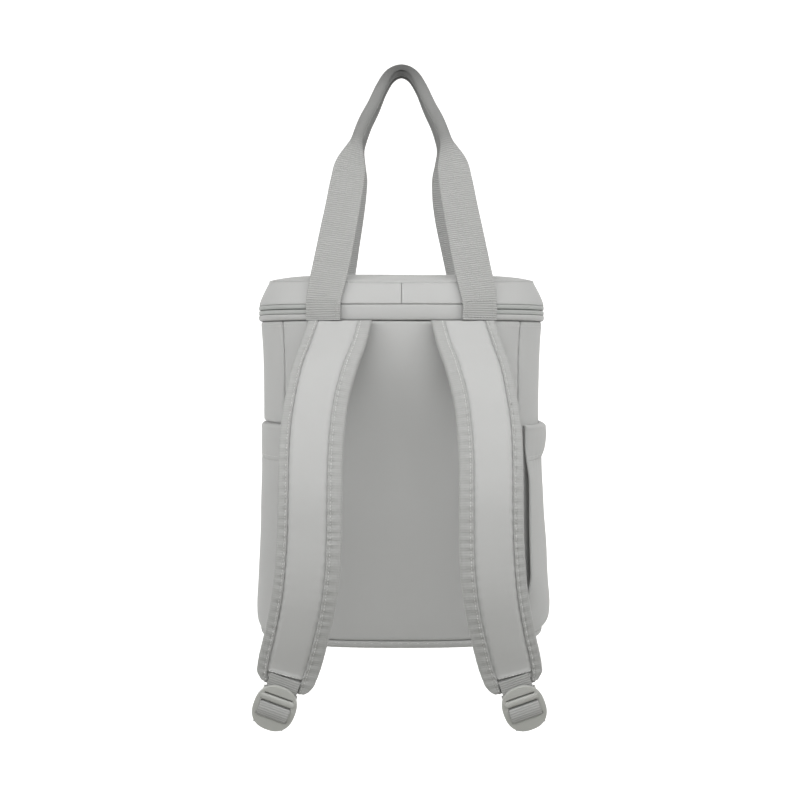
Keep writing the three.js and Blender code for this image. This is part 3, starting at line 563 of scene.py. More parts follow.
def walk(line, normals, pitch):
    """Evenly spaced places, directions and normals along a line of points."""
    lengths = lengths_along(line)
    count = max(int(lengths[-1] / pitch), 1)
    at = (np.arange(count) + 0.5) * lengths[-1] / count

    def read(values, where):
        return np.stack([np.interp(where, lengths, values[:, k]) for k in range(3)], -1)

    ways = unit(read(line, at + pitch / 4) - read(line, at - pitch / 4))
    up = read(normals, at)
    up -= (up * ways).sum(1, keepdims=True) * ways
    return read(line, at), ways, unit(up)


def stitches(line, normals, radius=STITCH_RADIUS, pitch=STITCH_PITCH, long=STITCH_LONG):
    places, ways, up = walk(np.asarray(line), np.asarray(normals), pitch)
    beside = np.cross(ways, up)
    angles = np.linspace(0, 2 * math.pi, THREAD_SIDES, endpoint=False)
    template = np.array(
        [
            (station * long, width * radius * math.cos(a), radius * (rise + width * math.sin(a)))
            for station, width, rise in THREAD_STATIONS
            for a in angles
        ]
    )
    axes = np.stack([ways, beside, up], 1)
    points = places[:, None] + np.einsum("tk,skd->std", template, axes)
    return [tube(stitch.reshape(len(THREAD_STATIONS), THREAD_SIDES, 3)) for stitch in points]


print("a strap's edge takes about", int(380 / STITCH_PITCH), "stitches")

# %% [markdown]
# The finishes. The bag is one pale grey throughout, so its materials must differ by surface, not by
# colour: a coated cloth with a fine plain weave, ribbed webbing whose grooves are painted darker as
# shade, a tighter binding tape, zip tape and satin plastic. Each is built from nodes that follow the
# cloth's own
# measure, so that the weave keeps its size on every piece. Image textures would do it too, but they
# would blur close to and repeat.


# %% A finish begins with its gloss and nap
def new_finish(name, roughness, sheen=0.0, specular=0.5):
    finish = bpy.data.materials.new(name)
    finish.use_nodes = True
    shader = finish.node_tree.nodes["Principled BSDF"]
    shader.inputs["Roughness"].default_value = roughness
    shader.inputs["Sheen Weight"].default_value = sheen
    shader.inputs["Sheen Roughness"].default_value = 0.5
    shader.inputs["Specular IOR Level"].default_value = specular
    return finish, finish.node_tree, shader


def wave(tree, measure, direction, pitch):
    """Even stripes, one for each pitch in millimetres, across one direction of the cloth."""
    made = node(tree, "TexWave", bands_direction=direction, Scale=math.pi / 10 / (pitch * MM))
    tree.links.new(measure, made.inputs["Vector"])
    return made.outputs["Fac"]


def toned(tree, shader, tone, darker, factor):
    """Base colour between a darker and the full tone by a factor."""
    ramp = node(tree, "Mix", data_type="RGBA", clamp_factor=False)
    ramp.inputs["A"].default_value = (*(c * darker for c in tone), 1)
    ramp.inputs["B"].default_value = (*tone, 1)
    tree.links.new(factor, ramp.inputs["Factor"])
    tree.links.new(ramp.outputs["Result"], shader.inputs["Base Color"])


def raised(tree, shader, height, distance, strength=1.0, onto=None):
    bump = node(tree, "Bump", Distance=distance * MM, Strength=strength)
    tree.links.new(height, bump.inputs["Height"])
    if onto is not None:
        tree.links.new(onto, bump.inputs["Normal"])
    tree.links.new(bump.outputs["Normal"], shader.inputs["Normal"])
    return bump.outputs["Normal"]


def measure_of(tree):
    return node(tree, "UVMap", uv_map="Cloth").outputs["UV"]


def noise(tree, scale, detail):
    made = node(tree, "TexNoise", Scale=scale, Detail=detail)
    tree.links.new(node(tree, "TexCoord").outputs["Object"], made.inputs["Vector"])
    return made.outputs["Fac"]


def uneven_gloss(tree, shader, pattern, low, high):
    rough = node(tree, "MapRange", To_Min=low, To_Max=high)
    tree.links.new(pattern, rough.inputs["Value"])
    tree.links.new(rough.outputs["Result"], shader.inputs["Roughness"])


# %% Coated cloth with a fine plain weave
CLOTH_BLOTCH = 14
CLOTH_SPECK = 900
CLOTH_WAVES = 60
CLOTH_GRAIN = 650


def coated_cloth(name, tone, thread=0.55):
    """thread: the weave's pitch in millimetres."""
    finish, tree, shader = new_finish(name, 0.72, sheen=0.12, specular=0.35)
    measure = measure_of(tree)
    warp = wave(tree, measure, "X", thread)
    weft = wave(tree, measure, "Y", thread)
    weave = times(tree, warp, weft)
    blotch = noise(tree, CLOTH_BLOTCH, 4)
    speck = noise(tree, CLOTH_SPECK, 2)
    shade = plus(tree, times(tree, blotch, 0.6), times(tree, speck, 0.25))
    toned(tree, shader, tone, 0.93, plus(tree, shade, times(tree, weave, 0.2)))
    soft = raised(tree, shader, noise(tree, CLOTH_WAVES, 3), 0.5, 0.35)
    fine = raised(tree, shader, noise(tree, CLOTH_GRAIN, 2), 0.08, 0.5, soft)
    raised(tree, shader, weave, 0.05, 0.8, fine)
    uneven_gloss(tree, shader, blotch, 0.64, 0.8)
    return finish


# %% Ribbed webbing and binding tape, whose grooves are painted darker as shade
TAPE_FUZZ = 1400


def ribbed_tape(name, tone, pitch, yarn, groove):
    """The ribs fade where the cloth is folded in, and the fold is painted darker there as shade."""
    finish, tree, shader = new_finish(name, 0.82, sheen=0.2, specular=0.3)
    measure = measure_of(tree)
    fold_and_shade = node(tree, "Attribute", attribute_name="FoldAndShade").outputs["Fac"]
    unfolded = worked_out(tree, "MAXIMUM", worked_out(tree, "SUBTRACT", 1, fold_and_shade), 0)
    ribs = times(tree, wave(tree, measure, "X", pitch), unfolded)
    yarns = wave(tree, measure, "Y", yarn)
    fuzz = noise(tree, TAPE_FUZZ, 2)
    # painted shade: the troughs between ribs take the darker groove tone, and the fuzz adds random
    # tone
    shade = plus(tree, times(tree, ribs, 0.7), times(tree, fuzz, 0.3))
    # painted shade: the fold measure darkens the folded grip, most at its top
    darkened = worked_out(tree, "SUBTRACT", shade, times(tree, fold_and_shade, 0.45))
    toned(tree, shader, tone, groove, darkened)
    soft = raised(tree, shader, fuzz, 0.1, 0.5)
    raised(tree, shader, times(tree, ribs, yarns), 0.08, 0.8, soft)
    return finish


# %% Moulded plastic, coil and thread
PLASTIC_TONE = 40
PLASTIC_GLOSS = 120


def moulded(name, tone, roughness, grain):
    finish, tree, shader = new_finish(name, roughness)
    toned(tree, shader, tone, 0.94, noise(tree, PLASTIC_TONE, 3))
    raised(tree, shader, noise(tree, grain, 2), 0.05, 0.35)
    uneven_gloss(tree, shader, noise(tree, PLASTIC_GLOSS, 2), roughness - 0.06, roughness + 0.08)
    return finish


BODY_CLOTH = coated_cloth("body_cloth", (0.50, 0.502, 0.50))
STRAP_CLOTH = coated_cloth("strap_cloth", (0.51, 0.512, 0.51))
BINDING_CLOTH = coated_cloth("binding_cloth", (0.46, 0.462, 0.458), thread=0.45)
# each ribbed tape's last number is the tone of its grooves, painted shade between the ribs
WEBBING = ribbed_tape("webbing", (0.47, 0.472, 0.467), RIB_PITCH, 0.8, 0.64)
TRIM_TAPE = ribbed_tape("strap_trim", (0.43, 0.432, 0.428), RIB_PITCH, 0.6, 0.9)
ZIP_TAPE = ribbed_tape("zip_tape", (0.455, 0.468, 0.46), 0.9, 0.9, 0.85)
COIL = moulded("zip_coil", (0.3, 0.31, 0.3), 0.45, 900)
SLIDER = moulded("slider_metal", (0.34, 0.35, 0.34), 0.35, 900)
LOCK = moulded("lock_plastic", (0.46, 0.465, 0.445), 0.42, 700)
THREAD = ribbed_tape("thread", (0.66, 0.662, 0.655), 0.7, 0.7, 0.9)
print("finishes:", [m.name for m in bpy.data.materials])

# %% [markdown]
# The body: four padded walls, sewn to each other at upright seams. On the real bag each wall is foam
# between cloth and lining. A wall bulges a little between its seams and dives into them, so each grid
# has its steps close together near its border, where it rolls in. Beside the right pocket's open rear
# edge and above the left pocket's mouth the wall is sunk a little, which gives their dark lines.

# %% Padded walls
WALL_ROWS = 120
WALL_STEP = 2.6
SEAM_ROLL = 4.5
SEAM_DIP = 2.6
SEAM_OPEN = 0.45


def wall_grid(start, stop, low, high, columns, rows, more_heights=()):
    length = start + (stop - start) * steps_close_at_ends(columns)
    height = low + (high - low) * steps_close_at_ends(rows)
    height = np.sort(np.append(height, more_heights))
    return np.meshgrid(length, height, indexing="ij")


def rolled(distance, dip=SEAM_DIP, roll=SEAM_ROLL):
    return dip * (1 - np.sqrt(np.clip(1 - (1 - np.clip(distance / roll, 0, 1)) ** 2, 0, 1)))


# %% Where the walls are sunk beside the pockets
RIGHT_POCKET_INSET = 5.5
SLIT_DEPTH = 3.8
SLIT_HALF = 3.2
SLIT_PLACE = BACK_SEAM + RIGHT_POCKET_INSET - 1.5
MOUTH_DEPTH = 3.2
MOUTH_LEFT = POCKET_TOP + HEM_HEIGHT + 1.2
MOUTH_HALF = 1.5


def slit_open(z):
    """How far the right pocket's rear edge stands open at a height, from 0 to 1."""
    share = (z - BODY_FOOT) / (POCKET_HEIGHT + HEM_HEIGHT)
    return ease((share - 0.1) / 0.2) * (1 - 0.7 * ease((share - 0.72) / 0.2))


# %% The four walls
SWELL = 0.7
SWELL_LENGTH = 95
FOOT_GATHERS = 0.35
SEAM_GATHERS = 0.22
FOOT_DIP = 1.6
TOP_DIP = 1.8
TOP_ROLL = 4


def padded_wall(name, start, stop, seed):
    columns = max(int((stop - start) / WALL_STEP), 24)
    mouth = MOUTH_LEFT + MOUTH_HALF * np.linspace(-2, 2, 9)
    finer = mouth if name == "side_panel_left" else ()
    length, z = wall_grid(
        start + SEAM_OPEN, stop - SEAM_OPEN, BODY_FOOT, BODY_HEIGHT, columns, WALL_ROWS, finer
    )
    beside = np.minimum(length - start, stop - length)
    above = z - BODY_FOOT
    swell = SWELL * soft_waves(length, z, SWELL_LENGTH, seed) * ease(beside / 30)
    gathers = FOOT_GATHERS * puckers(length, above, 15, 20, seed + 1)
    gathers += SEAM_GATHERS * puckers(z, beside, 17, 8, seed + 2)
    offset = swell + gathers - rolled(beside) - rolled(above, FOOT_DIP)
    offset = offset - rolled(BODY_HEIGHT - z, TOP_DIP, TOP_ROLL)
    if name == "side_panel_right":
        below_mouth = z < POCKET_TOP + HEM_HEIGHT
        offset -= SLIT_DEPTH * slit_open(z) * below_mouth * hill(length - SLIT_PLACE, SLIT_HALF)
    if name == "side_panel_left":
        offset -= MOUTH_DEPTH * hill(z - MOUTH_LEFT, MOUTH_HALF)
    outer = body_point(length, z, offset)
    inner = body_point(length, z, -WALL + rolled(beside, 1.0))
    sew(name, [shell(outer, inner)], BODY_CLOTH)


WALLS = (
    ("back_panel", -BACK_SEAM, BACK_SEAM, 11),
    ("side_panel_right", BACK_SEAM, FRONT_SEAM, 21),
    ("front_panel", FRONT_SEAM, PERIMETER - FRONT_SEAM, 31),
    ("side_panel_left", -FRONT_SEAM, -BACK_SEAM, 41),
)
for name, start, stop, seed in WALLS:
    padded_wall(name, start, stop, seed)

# %% [markdown]
# The base: a flat padded panel whose edge is wrapped in a folded binding. The binding is one strip
# whose ends meet at the middle of the front, stitched through just below its top.


# %% Strips that run round the body
def strip_round(section, start, stop, place, step=2.2, wobble=None):
    """A closed section of offsets and heights, carried round the body."""
    length = np.linspace(start, stop, max(int((stop - start) / step), 3))
    offset, z = np.asarray(section, float).T
    grid_length = length[:, None] + 0 * offset
    extra = 0 if wobble is None else wobble(grid_length)
    return tube(place(grid_length, z + 0 * grid_length, offset + extra))


def binding_place(length, z, offset):
    points = body_point(length, BODY_FOOT + 0 * z, offset)
    points[..., 2] = z
    return points


def round_line(place, offset, z, start, stop, step=2.0):
    """A line round the body for stitches, with the direction out of the cloth."""
    length = np.linspace(start, stop, int((stop - start) / step))
    line = place(length, z + 0 * length, offset + 0 * length)
    return line, place(length, z + 0 * length, offset + 1 + 0 * length) - line


binding_middle = BINDING_PROUD - BINDING_THICKNESS / 2
turns = np.linspace(0, 2 * math.pi, 20, endpoint=False)
x, y = oval(turns, 0.75)
binding_section = np.stack(
    [binding_middle + BINDING_THICKNESS / 2 * x, BINDING_HEIGHT / 2 * (1 + y)], -1
)
BASE_THREAD = 0.26
binding_ends = (FRONT_MIDDLE + GAP / 2, FRONT_MIDDLE + PERIMETER - GAP / 2)


def binding_gathers(length):
    return 0.16 * puckers(length, 0, 9, 1, 5)


binding = strip_round(binding_section, *binding_ends, binding_place, wobble=binding_gathers)
sew("base_binding", [binding], BINDING_CLOTH)
line, out = round_line(binding_place, BINDING_PROUD - 0.35, BINDING_HEIGHT * 0.72, *binding_ends)
sew("base_stitches", stitches(line, out, BASE_THREAD), THREAD, stitched_to="binding_cloth")


# %% Flat base panel
def filled_outline(lengths, radii, place):
    """Two layers from the middle to an outline: place gives a layer's points."""
    length, radius = np.meshgrid(lengths, radii, indexing="ij")
    return place(length, radius)


def disc(outer, inner):
    """A closed panel between two round grids, whose first column is the middle."""
    turns, radii = outer.shape[:2]
    points = np.concatenate(
        [outer[:, 1:].reshape(-1, 3), inner[:, 1:].reshape(-1, 3), outer[:1, 0], inner[:1, 0]]
    )
    columns = radii - 1
    half = turns * columns
    faces = []
    for side, flip in ((0, False), (half, True)):
        middle = 2 * half + (1 if flip else 0)
        for i in range(turns):
            j = (i + 1) % turns
            ring = [[middle, side + i * columns, side + j * columns]]
            for k in range(columns - 1):
                a, b = side + i * columns + k, side + j * columns + k
                ring.append([a, a + 1, b + 1, b])
            faces += [face[::-1] for face in ring] if flip else ring
    for i in range(turns):
        a, b = i * columns + columns - 1, ((i + 1) % turns) * columns + columns - 1
        faces.append([a, a + half, b + half, b])
    return points, faces, points[:, :2] * MM


round_lengths = np.linspace(0, PERIMETER, 160, endpoint=False)
base_inset = BINDING_THICKNESS - BINDING_PROUD + GAP


def base_layer(height, inset):
    def place(length, radius):
        points = body_point(length, BODY_FOOT + 0 * length, -inset)
        points[..., :2] *= radius[..., None]
        points[..., 2] = height - 0.4 * ease((radius - 0.9) * 10) * np.sign(height - 1)
        return points

    return filled_outline(round_lengths, np.linspace(0, 1, 14), place)


base_layers = (base_layer(BASE_THICKNESS, base_inset), base_layer(0.0, base_inset))
sew("base_panel", [disc(*base_layers)], BODY_CLOTH)

# %% [markdown]
# The rim and the zip. Below the zip runs a sewn band, then a closed zip whose two tapes meet edge to
# edge over the coil; a plain cloth hinge holds the lid between the handles. The dark lines that one
# sees along the lid are the shadows between these folded edges, so they are gaps here, not paint.

# %% Rim band, zip and hinge
AROUND_FRONT = (HINGE_HALF + GAP, PERIMETER - HINGE_HALF - GAP)


def band_section(low, high, face, thickness, bulge=0.0):
    middle = (low + high) / 2
    return rounded(
        [
            (face - 0.25, low),
            (face + bulge, middle),
            (face - 0.25, high),
            (face - thickness, high),
            (face - thickness, low),
        ]
    )


rim_section = rounded(
    [
        (RIM_OVERHANG * 0.5, RIM_LOW),
        (RIM_OVERHANG, RIM_LOW + RIM_HEIGHT * 0.3),
        (RIM_OVERHANG + 0.2, RIM_LOW + RIM_HEIGHT * 0.7),
        (RIM_OVERHANG - 0.2, RIM_TOP),
        (RIM_INNER, RIM_TOP),
        (RIM_INNER, RIM_LOW),
    ]
)
sew("rim_band", [strip_round(rim_section, *AROUND_FRONT, top_point)], BODY_CLOTH)
TAPE_APART = 0.5
TAPE_LAP = 0.2
tape_face = RIM_OVERHANG - 0.1
tapes = (
    ("zip_tape_lower", ZIP_LOW - TAPE_LAP, ZIP_MIDDLE - TAPE_APART),
    ("zip_tape_upper", ZIP_MIDDLE + TAPE_APART, ZIP_TOP + TAPE_LAP),
)
for name, low, high in tapes:
    section = band_section(low, high, tape_face, ZIP_TAPE_THICKNESS, 0.15)
    sew(name, [strip_round(section, *AROUND_FRONT, top_point)], ZIP_TAPE)

# %% Coil behind the tapes, with its turns
COIL_PITCH = 1.3
COIL_HALF_DEPTH = 0.75
COIL_HALF_HEIGHT = 1.6
COIL_WAIST = 0.22
coil_face = RIM_OVERHANG - ZIP_TAPE_THICKNESS - GAP
coil_middle = coil_face - ZIP_COIL_THICKNESS / 2
coil_section = [
    (coil_middle + COIL_HALF_DEPTH * math.cos(t), ZIP_MIDDLE + COIL_HALF_HEIGHT * math.sin(t))
    for t in np.linspace(0, 2 * math.pi, 8, endpoint=False)
]
coil_length = np.arange(AROUND_FRONT[0], AROUND_FRONT[1], COIL_PITCH / 3)
turn_size = 1 - COIL_WAIST * (1 + np.cos(2 * math.pi * coil_length / COIL_PITCH)) / 2
coil_rings = np.stack(
    [
        top_point(
            coil_length,
            ZIP_MIDDLE + (z - ZIP_MIDDLE) * turn_size,
            coil_middle + (offset - coil_middle) * turn_size,
        )
        for offset, z in coil_section
    ],
    axis=1,
)
sew("zip_coil", [tube(coil_rings)], COIL)

# %% Cloth hinge between the handles
hinge_section = rounded(
    [
        (RIM_OVERHANG * 0.5, RIM_LOW),
        (RIM_OVERHANG, RIM_LOW + RIM_HEIGHT * 0.3),
        (RIM_OVERHANG + 0.5, (RIM_LOW + ZIP_TOP) / 2),
        (RIM_OVERHANG - 0.1, ZIP_TOP - 1),
        (RIM_OVERHANG - 0.9, ZIP_TOP),
        (RIM_INNER, ZIP_TOP),
        (RIM_INNER, RIM_LOW),
    ]
)
hinge = strip_round(hinge_section, -HINGE_HALF, HINGE_HALF, top_point)
sew("lid_hinge", [hinge], BODY_CLOTH)

# %% Stitches that hold the rim to the walls
RIM_STITCHES = BODY_HEIGHT - 5.2
WALL_STITCH_REACH = 98
RIM_THREAD = 0.22
line, out = round_line(body_point, 0.1, RIM_STITCHES, WALL_STITCH_REACH, PERIMETER - WALL_STITCH_REACH)
sew("rim_stitches", stitches(line, out, RIM_THREAD), THREAD, stitched_to="body_cloth")

# %% [markdown]
# The lid: a band that slopes in from the zip, with its join at the middle of the back, and a crowned
# top panel sewn inside its upper edge. Foam keeps the crown up. The band's corner is crisp because two
# layers are sewn together there.


# %% Lid band and crowned top
def side_lift(length):
    return LID_SIDE_LIFT * (along_plan(length)[0][..., 0] / (BODY_WIDTH / 2)) ** 2


def lid_lean(share):
    return RIM_OVERHANG - LID_BAND_INSET * np.clip(share, 0, 1) ** 1.3


def lid_band_point(length, z, offset):
    share = (z - LID_LOW) / LID_BAND_HEIGHT
    return top_point(length, z + side_lift(length) * share, offset + lid_lean(share))


LID_COLUMNS = 380
LID_ROWS = 22
length, z = wall_grid(GAP / 2, PERIMETER - GAP / 2, LID_LOW, LID_EDGE, LID_COLUMNS, LID_ROWS)
beside = np.minimum(length, PERIMETER - length)
swell = 0.35 * soft_waves(length, z, 70, 51) + 0.12 * puckers(length, LID_EDGE - z, 14, 6, 52)
swell -= rolled(beside, 1.2, 2.5) + rolled(z - LID_LOW, 1.0, 2.5)
lid_band = shell(lid_band_point(length, z, swell), lid_band_point(length, z, -LID_WALL + 0 * z))
sew("lid_side_band", [lid_band], BODY_CLOTH)


def lid_layer(top):
    def place(length, radius):
        spot, out = along_plan(length)
        points = np.zeros((*length.shape, 3))
        points[..., :2] = (spot + out * (RIM_OVERHANG - LID_BAND_INSET)) * radius[..., None]
        thickness = LID_WALL + (LID_WALL * 0.35 - LID_WALL) * radius**8
        crown = LID_CROWN * (1 - radius**1.9)
        points[..., 2] = LID_EDGE + SEWN_TOUCH + crown + side_lift(length) * radius**2
        swell = 0.6 * soft_waves(points[..., 0], points[..., 1], 110, 61) * ease((1 - radius) * 6)
        points[..., 2] += (thickness + swell - 0.3 * ease((radius - 0.97) * 33)) if top else 0
        return points

    return filled_outline(round_lengths, 1 - (1 - np.linspace(0, 1, 26)) ** 1.6, place)


sew("lid_top_panel", [disc(lid_layer(True), lid_layer(False))], BODY_CLOTH)

# %% [markdown]
# Side pockets. Each is a slack sheet of cloth sewn round three sides, under a wide elastic hem. The
# left one is pulled flat against the body, so only its mouth shows, as a short dark line. The right
# one stands open, with a slit along its rear edge and a rolled hem. Cloth simulation could drop a
# sheet into place, but the two shapes are known from the pattern, so the sheets are laid out directly
# and given their gathers along the elastic.

# %% Pocket cloth and hems
pocket_section = smooth_table(
    "at belly foot",
    (0, 0, 0),
    (0.03, 0.65, 0.8),
    (0.09, 1, 1),
    (0.25, 1, 0.45),
    (0.45, 1, 0.1),
    (0.75, 0.6, 0),
    (1, 0.1, 0),
)
hem_section = smooth_table(
    "at stand", (0, 0.1), (0.2, 0.65), (0.5, 1), (0.75, 1.08), (0.9, 0.85), (1, 0.3)
)
HEM_STITCHES = 4
HEM_THREAD = 0.24
POCKET_STEPS = 90
HEM_STEPS = 40


def pocket(name, side, belly, foot, flare, gape, inset, lip_size, seed):
    """belly, foot and flare: how far the cloth stands out at its middle, foot and mouth."""
    rear, front = side * (BACK_SEAM + GAP + inset), side * (FRONT_SEAM - GAP)
    share = steps_close_at_ends(POCKET_STEPS)
    length = rear + (front - rear) * share[:, None]

    def bulge():
        return np.sin(math.pi * share[:, None]) ** 0.7

    z = BODY_FOOT + (POCKET_HEIGHT - SEWN_TOUCH) * steps_close_at_ends(POCKET_STEPS)[None, :]
    height = (z - BODY_FOOT) / POCKET_HEIGHT
    section = pocket_section(height)
    loose = np.sin(math.pi * np.clip(height, 0, 1)) ** 0.8
    rear_edge = np.clip(1 - share[:, None] * 4, 0, 1) ** 2
    rear_open = gape * slit_open(z) * rear_edge
    stand = (belly * section["belly"] + foot * section["foot"]) * bulge()
    folds = 0.35 * (1 + belly / 3) * soft_waves(length, z, 60, seed) * bulge() * loose
    gathers = 0.3 * (1 + flare / 4) * puckers(length, POCKET_TOP - z, 11, 12, seed + 1) * bulge()
    face = GAP + POCKET_CLOTH + stand + rear_open + np.maximum(folds + gathers, -stand - GAP / 2)
    edge = np.minimum(share, 1 - share)[:, None] * abs(front - rear)
    face = face - rolled(edge, 0.5, 2) - rolled(POCKET_TOP - z, 0.25, 2.5)
    panel = [shell(body_point(length, z, face), body_point(length, z, face - POCKET_CLOTH))]
    cloth = sew(f"pocket_{name}", panel, BODY_CLOTH)

    z = POCKET_TOP + HEM_HEIGHT * steps_close_at_ends(HEM_STEPS)[None, :]
    height = (z - POCKET_TOP) / HEM_HEIGHT
    stand = flare * hem_section(height)["stand"] * bulge()
    gathers = 0.3 * (1 + flare / 4) * puckers(length, z - POCKET_TOP, 10, 9, seed + 2) * bulge()
    lip = lip_size * ease((height - 0.82) * 9)
    face = GAP + POCKET_CLOTH + stand + np.maximum(gathers, -stand - GAP / 2) + lip
    face = face + gape * slit_open(z) * rear_edge
    face = face - rolled(edge, 0.4, 2) - rolled(z - POCKET_TOP, 0.3, 2.5)
    face = face - rolled(POCKET_TOP + HEM_HEIGHT - z, 1.8, 3.2)
    panel = [shell(body_point(length, z, face), body_point(length, z, face - POCKET_CLOTH - lip))]
    hem = sew(f"pocket_hem_{name}", panel, BODY_CLOTH)
    inner = length[2:-2, 0]
    row_height = POCKET_TOP + HEM_STITCHES + 0 * inner
    row = body_point(inner, row_height, 0)
    out = body_point(inner, row_height, 1) - row
    near = np.argmin(np.abs(z[0] - POCKET_TOP - HEM_STITCHES))
    row = row + out * (face[2:-2, near : near + 1] + 0.05)
    sew(f"pocket_stitches_{name}", stitches(row, out, HEM_THREAD), THREAD, stitched_to="body_cloth")


pocket("left", -1, belly=1, foot=1.5, flare=0.5, gape=0, inset=0, lip_size=0.2, seed=71)
right_shape = {"belly": 4.8, "foot": 2, "flare": 6, "gape": 8, "inset": RIGHT_POCKET_INSET}
pocket("right", 1, **right_shape, lip_size=1.0, seed=81)

# %% [markdown]
# The carry handles. Each is one length of 38 mm ribbed webbing: its two legs lie flat, and between
# them the webbing is folded lengthways and sewn into a round grip. The section therefore changes from
# flat to oval on the way up. A flat strap with a separate tube for the grip would be quicker, but the
# soft shoulder where the webbing folds is what one sees on the real bag. The front handle's right leg
# sways in a little, so that it shows beside the back one, as slack webbing does.

# %% Webbing: a section that follows a line, with its ribs across
handle_section = smooth_table(
    "at rise spread lean width fold wrap",
    (0, 0, 1.006, 0, 0.96, 0, 1.35),
    (0.062, 0.066, 1.004, 0.01, 0.965, 0, 1.3),
    (0.11, 0.117, 0.978, 0.055, 0.98, 0, 1),
    (0.186, 0.196, 0.923, 0.142, 0.99, 0, 0.6),
    (0.3, 0.314, 0.85, 0.268, 0.97, 0, 0.35),
    (0.41, 0.43, 0.78, 0.39, 0.95, 0, 0.15),
    (0.515, 0.541, 0.72, 0.509, 0.93, 0.02, 0.05),
    (0.587, 0.614, 0.68, 0.588, 0.85, 0.08, 0),
    (0.642, 0.67, 0.632, 0.647, 0.62, 0.35, 0),
    (0.7, 0.73, 0.575, 0.71, 0.31, 1, 0),
    (0.763, 0.793, 0.494, 0.777, 0.32, 1, 0),
    (0.826, 0.852, 0.39, 0.84, 0.325, 1, 0),
    (0.9, 0.93, 0.265, 0.92, 0.33, 1, 0),
    (0.95, 0.979, 0.152, 0.97, 0.33, 1, 0),
    (1, 1, 0, 1, 0.33, 1, 0),
)


RING_CORNERS = 28


def ribbed_tube(line, out, width, thickness, corner, rib, pinch=None, corners=RING_CORNERS):
    """Rings along a line. Each ring is a rounded oblong, swollen and sunk by the ribs."""
    tangent = unit(np.gradient(line, axis=0))
    out = unit(out - (out * tangent).sum(1, keepdims=True) * tangent)
    across = np.cross(out, tangent)
    along = lengths_along(line)
    turn = np.linspace(0, 2 * math.pi, corners, endpoint=False)[None, :]
    x, y = oval(turn, 2 / corner[:, None])
    swell = rib[:, None] * (0.5 - 0.5 * np.cos(2 * math.pi * along[:, None] / RIB_PITCH))
    x = x * (width[:, None] / 2 + 0.4 * swell - 0.15)
    y = y * (thickness[:, None] / 2 + swell - rib[:, None] / 2)
    if pinch is not None:
        x, y = pinch(x, y, turn)
    rings = line[:, None] + x[..., None] * across[:, None] + y[..., None] * out[:, None]
    points, faces, uv = tube(rings)
    uv[:, 0] = np.repeat(along * MM, corners)
    return points, faces, uv


# %% Handles
SAMPLES_PER_RIB = 5
WIDE_RIB = 0.42
WIDTH_WAVE = 0.35
FRONT_LEG_SWAY = 5
SWAY_HEIGHT = 128
SWAY_REACH = 55
GRIP_TOP_REACH = 26
leg_face = -float(top_point(HANDLE_SPACING / 2, 0.0, RIM_OVERHANG)[1])
leg_stand = leg_face + HANDLE_WEBBING_THICKNESS / 2 + HANDLE_STAND
leg_out = along_plan(HANDLE_SPACING / 2)[1]
rim_turn = math.atan2(leg_out[0], -leg_out[1])
grip_middle = GRIP_THICKNESS / 2 + GAP / 2


def handle_line(share, side):
    row = handle_section(share)
    y = side * (leg_stand + (grip_middle - leg_stand) * row["lean"])
    x = row["spread"] * HANDLE_SPACING / 2
    return np.stack([x, y, RIM_LOW + row["rise"] * HANDLE_RISE], -1), row


def arched(line, reach=30, width=9):
    """Rounds the top of a line over which two mirrored halves meet, and keeps its height."""
    along = lengths_along(line)
    middle = along[-1] / 2
    near = hill(along - middle, reach)[:, None]
    spread = hill(along[:, None] - along[None, :], width)
    eased = spread @ line / spread.sum(1, keepdims=True)
    top = line[:, 2].max() - (line + (eased - line) * near)[:, 2].max()
    return line + (eased - line) * near + np.array([0, 0, top]) * near


def handle(side, name, seed):
    fine = np.linspace(0, 1, 500)
    lengths = lengths_along(handle_line(fine, side)[0])
    count = int(lengths[-1] / (RIB_PITCH / SAMPLES_PER_RIB))
    share = np.interp(np.linspace(0, lengths[-1], count), lengths, fine)
    line, row = handle_line(share, side)
    fold = np.clip(row["fold"], 0, 1)
    turn = row["wrap"] * rim_turn
    out = np.stack([np.sin(turn), side * np.cos(turn), 0 * turn], -1)
    width = row["width"] * HANDLE_WEBBING_WIDTH * (1 - fold) + GRIP_WIDTH * fold
    thickness = HANDLE_WEBBING_THICKNESS * (1 - fold) + GRIP_THICKNESS * fold
    mirrored = slice(-2, None, -1)
    line = np.concatenate([line, line[mirrored] * (-1, 1, 1)])
    out = np.concatenate([out, out[mirrored] * (-1, 1, 1)])
    width, thickness, fold = (np.concatenate([v, v[mirrored]]) for v in (width, thickness, fold))
    line = arched(line)
    if side > 0:
        height = line[:, 2] - RIM_LOW
        right = line[:, 0] > 0
        line[:, 0] -= FRONT_LEG_SWAY * hill(height - SWAY_HEIGHT, SWAY_REACH) * right
    along = lengths_along(line)
    width = width + WIDTH_WAVE * soft_waves(along, 0 * along, 60, seed) * (1 - fold)
    inner = math.pi if side > 0 else 0.0
    top = hill(along - along[-1] / 2, GRIP_TOP_REACH)[:, None]

    def pinch(x, y, turn):
        """The folded edges meet in a groove on the grip's inner side, and the legs cup a little."""
        near = (turn - inner + 0.8 * side * top + math.pi) % (2 * math.pi) - math.pi
        groove = fold[:, None] * (1.6 + 3.2 * top) * hill(near, 0.22 + 0.2 * top)
        cup = 10 * (fold * (1 - fold))[:, None] * (x / (width[:, None] / 2)) ** 2
        return x - np.cos(inner) * groove, y - cup * 0.5

    squareness = 6 - 3.6 * fold
    rib = WIDE_RIB * (1 - 0.85 * fold)
    part = ribbed_tube(line, out, width, thickness, squareness, rib, pinch)
    # fold and painted shade: this measure fades the ribs on the grip and paints it darker, most at the
    # top where the two grips meet
    smooth = np.repeat(fold * (1 + 1.8 * top[:, 0]), RING_CORNERS)
    sew(name, [part], WEBBING, crease=80, fold_and_shade=smooth)
    return line, out, thickness


back_handle = handle(-1, "handle_back", 91)
front_handle = handle(1, "handle_front", 92)

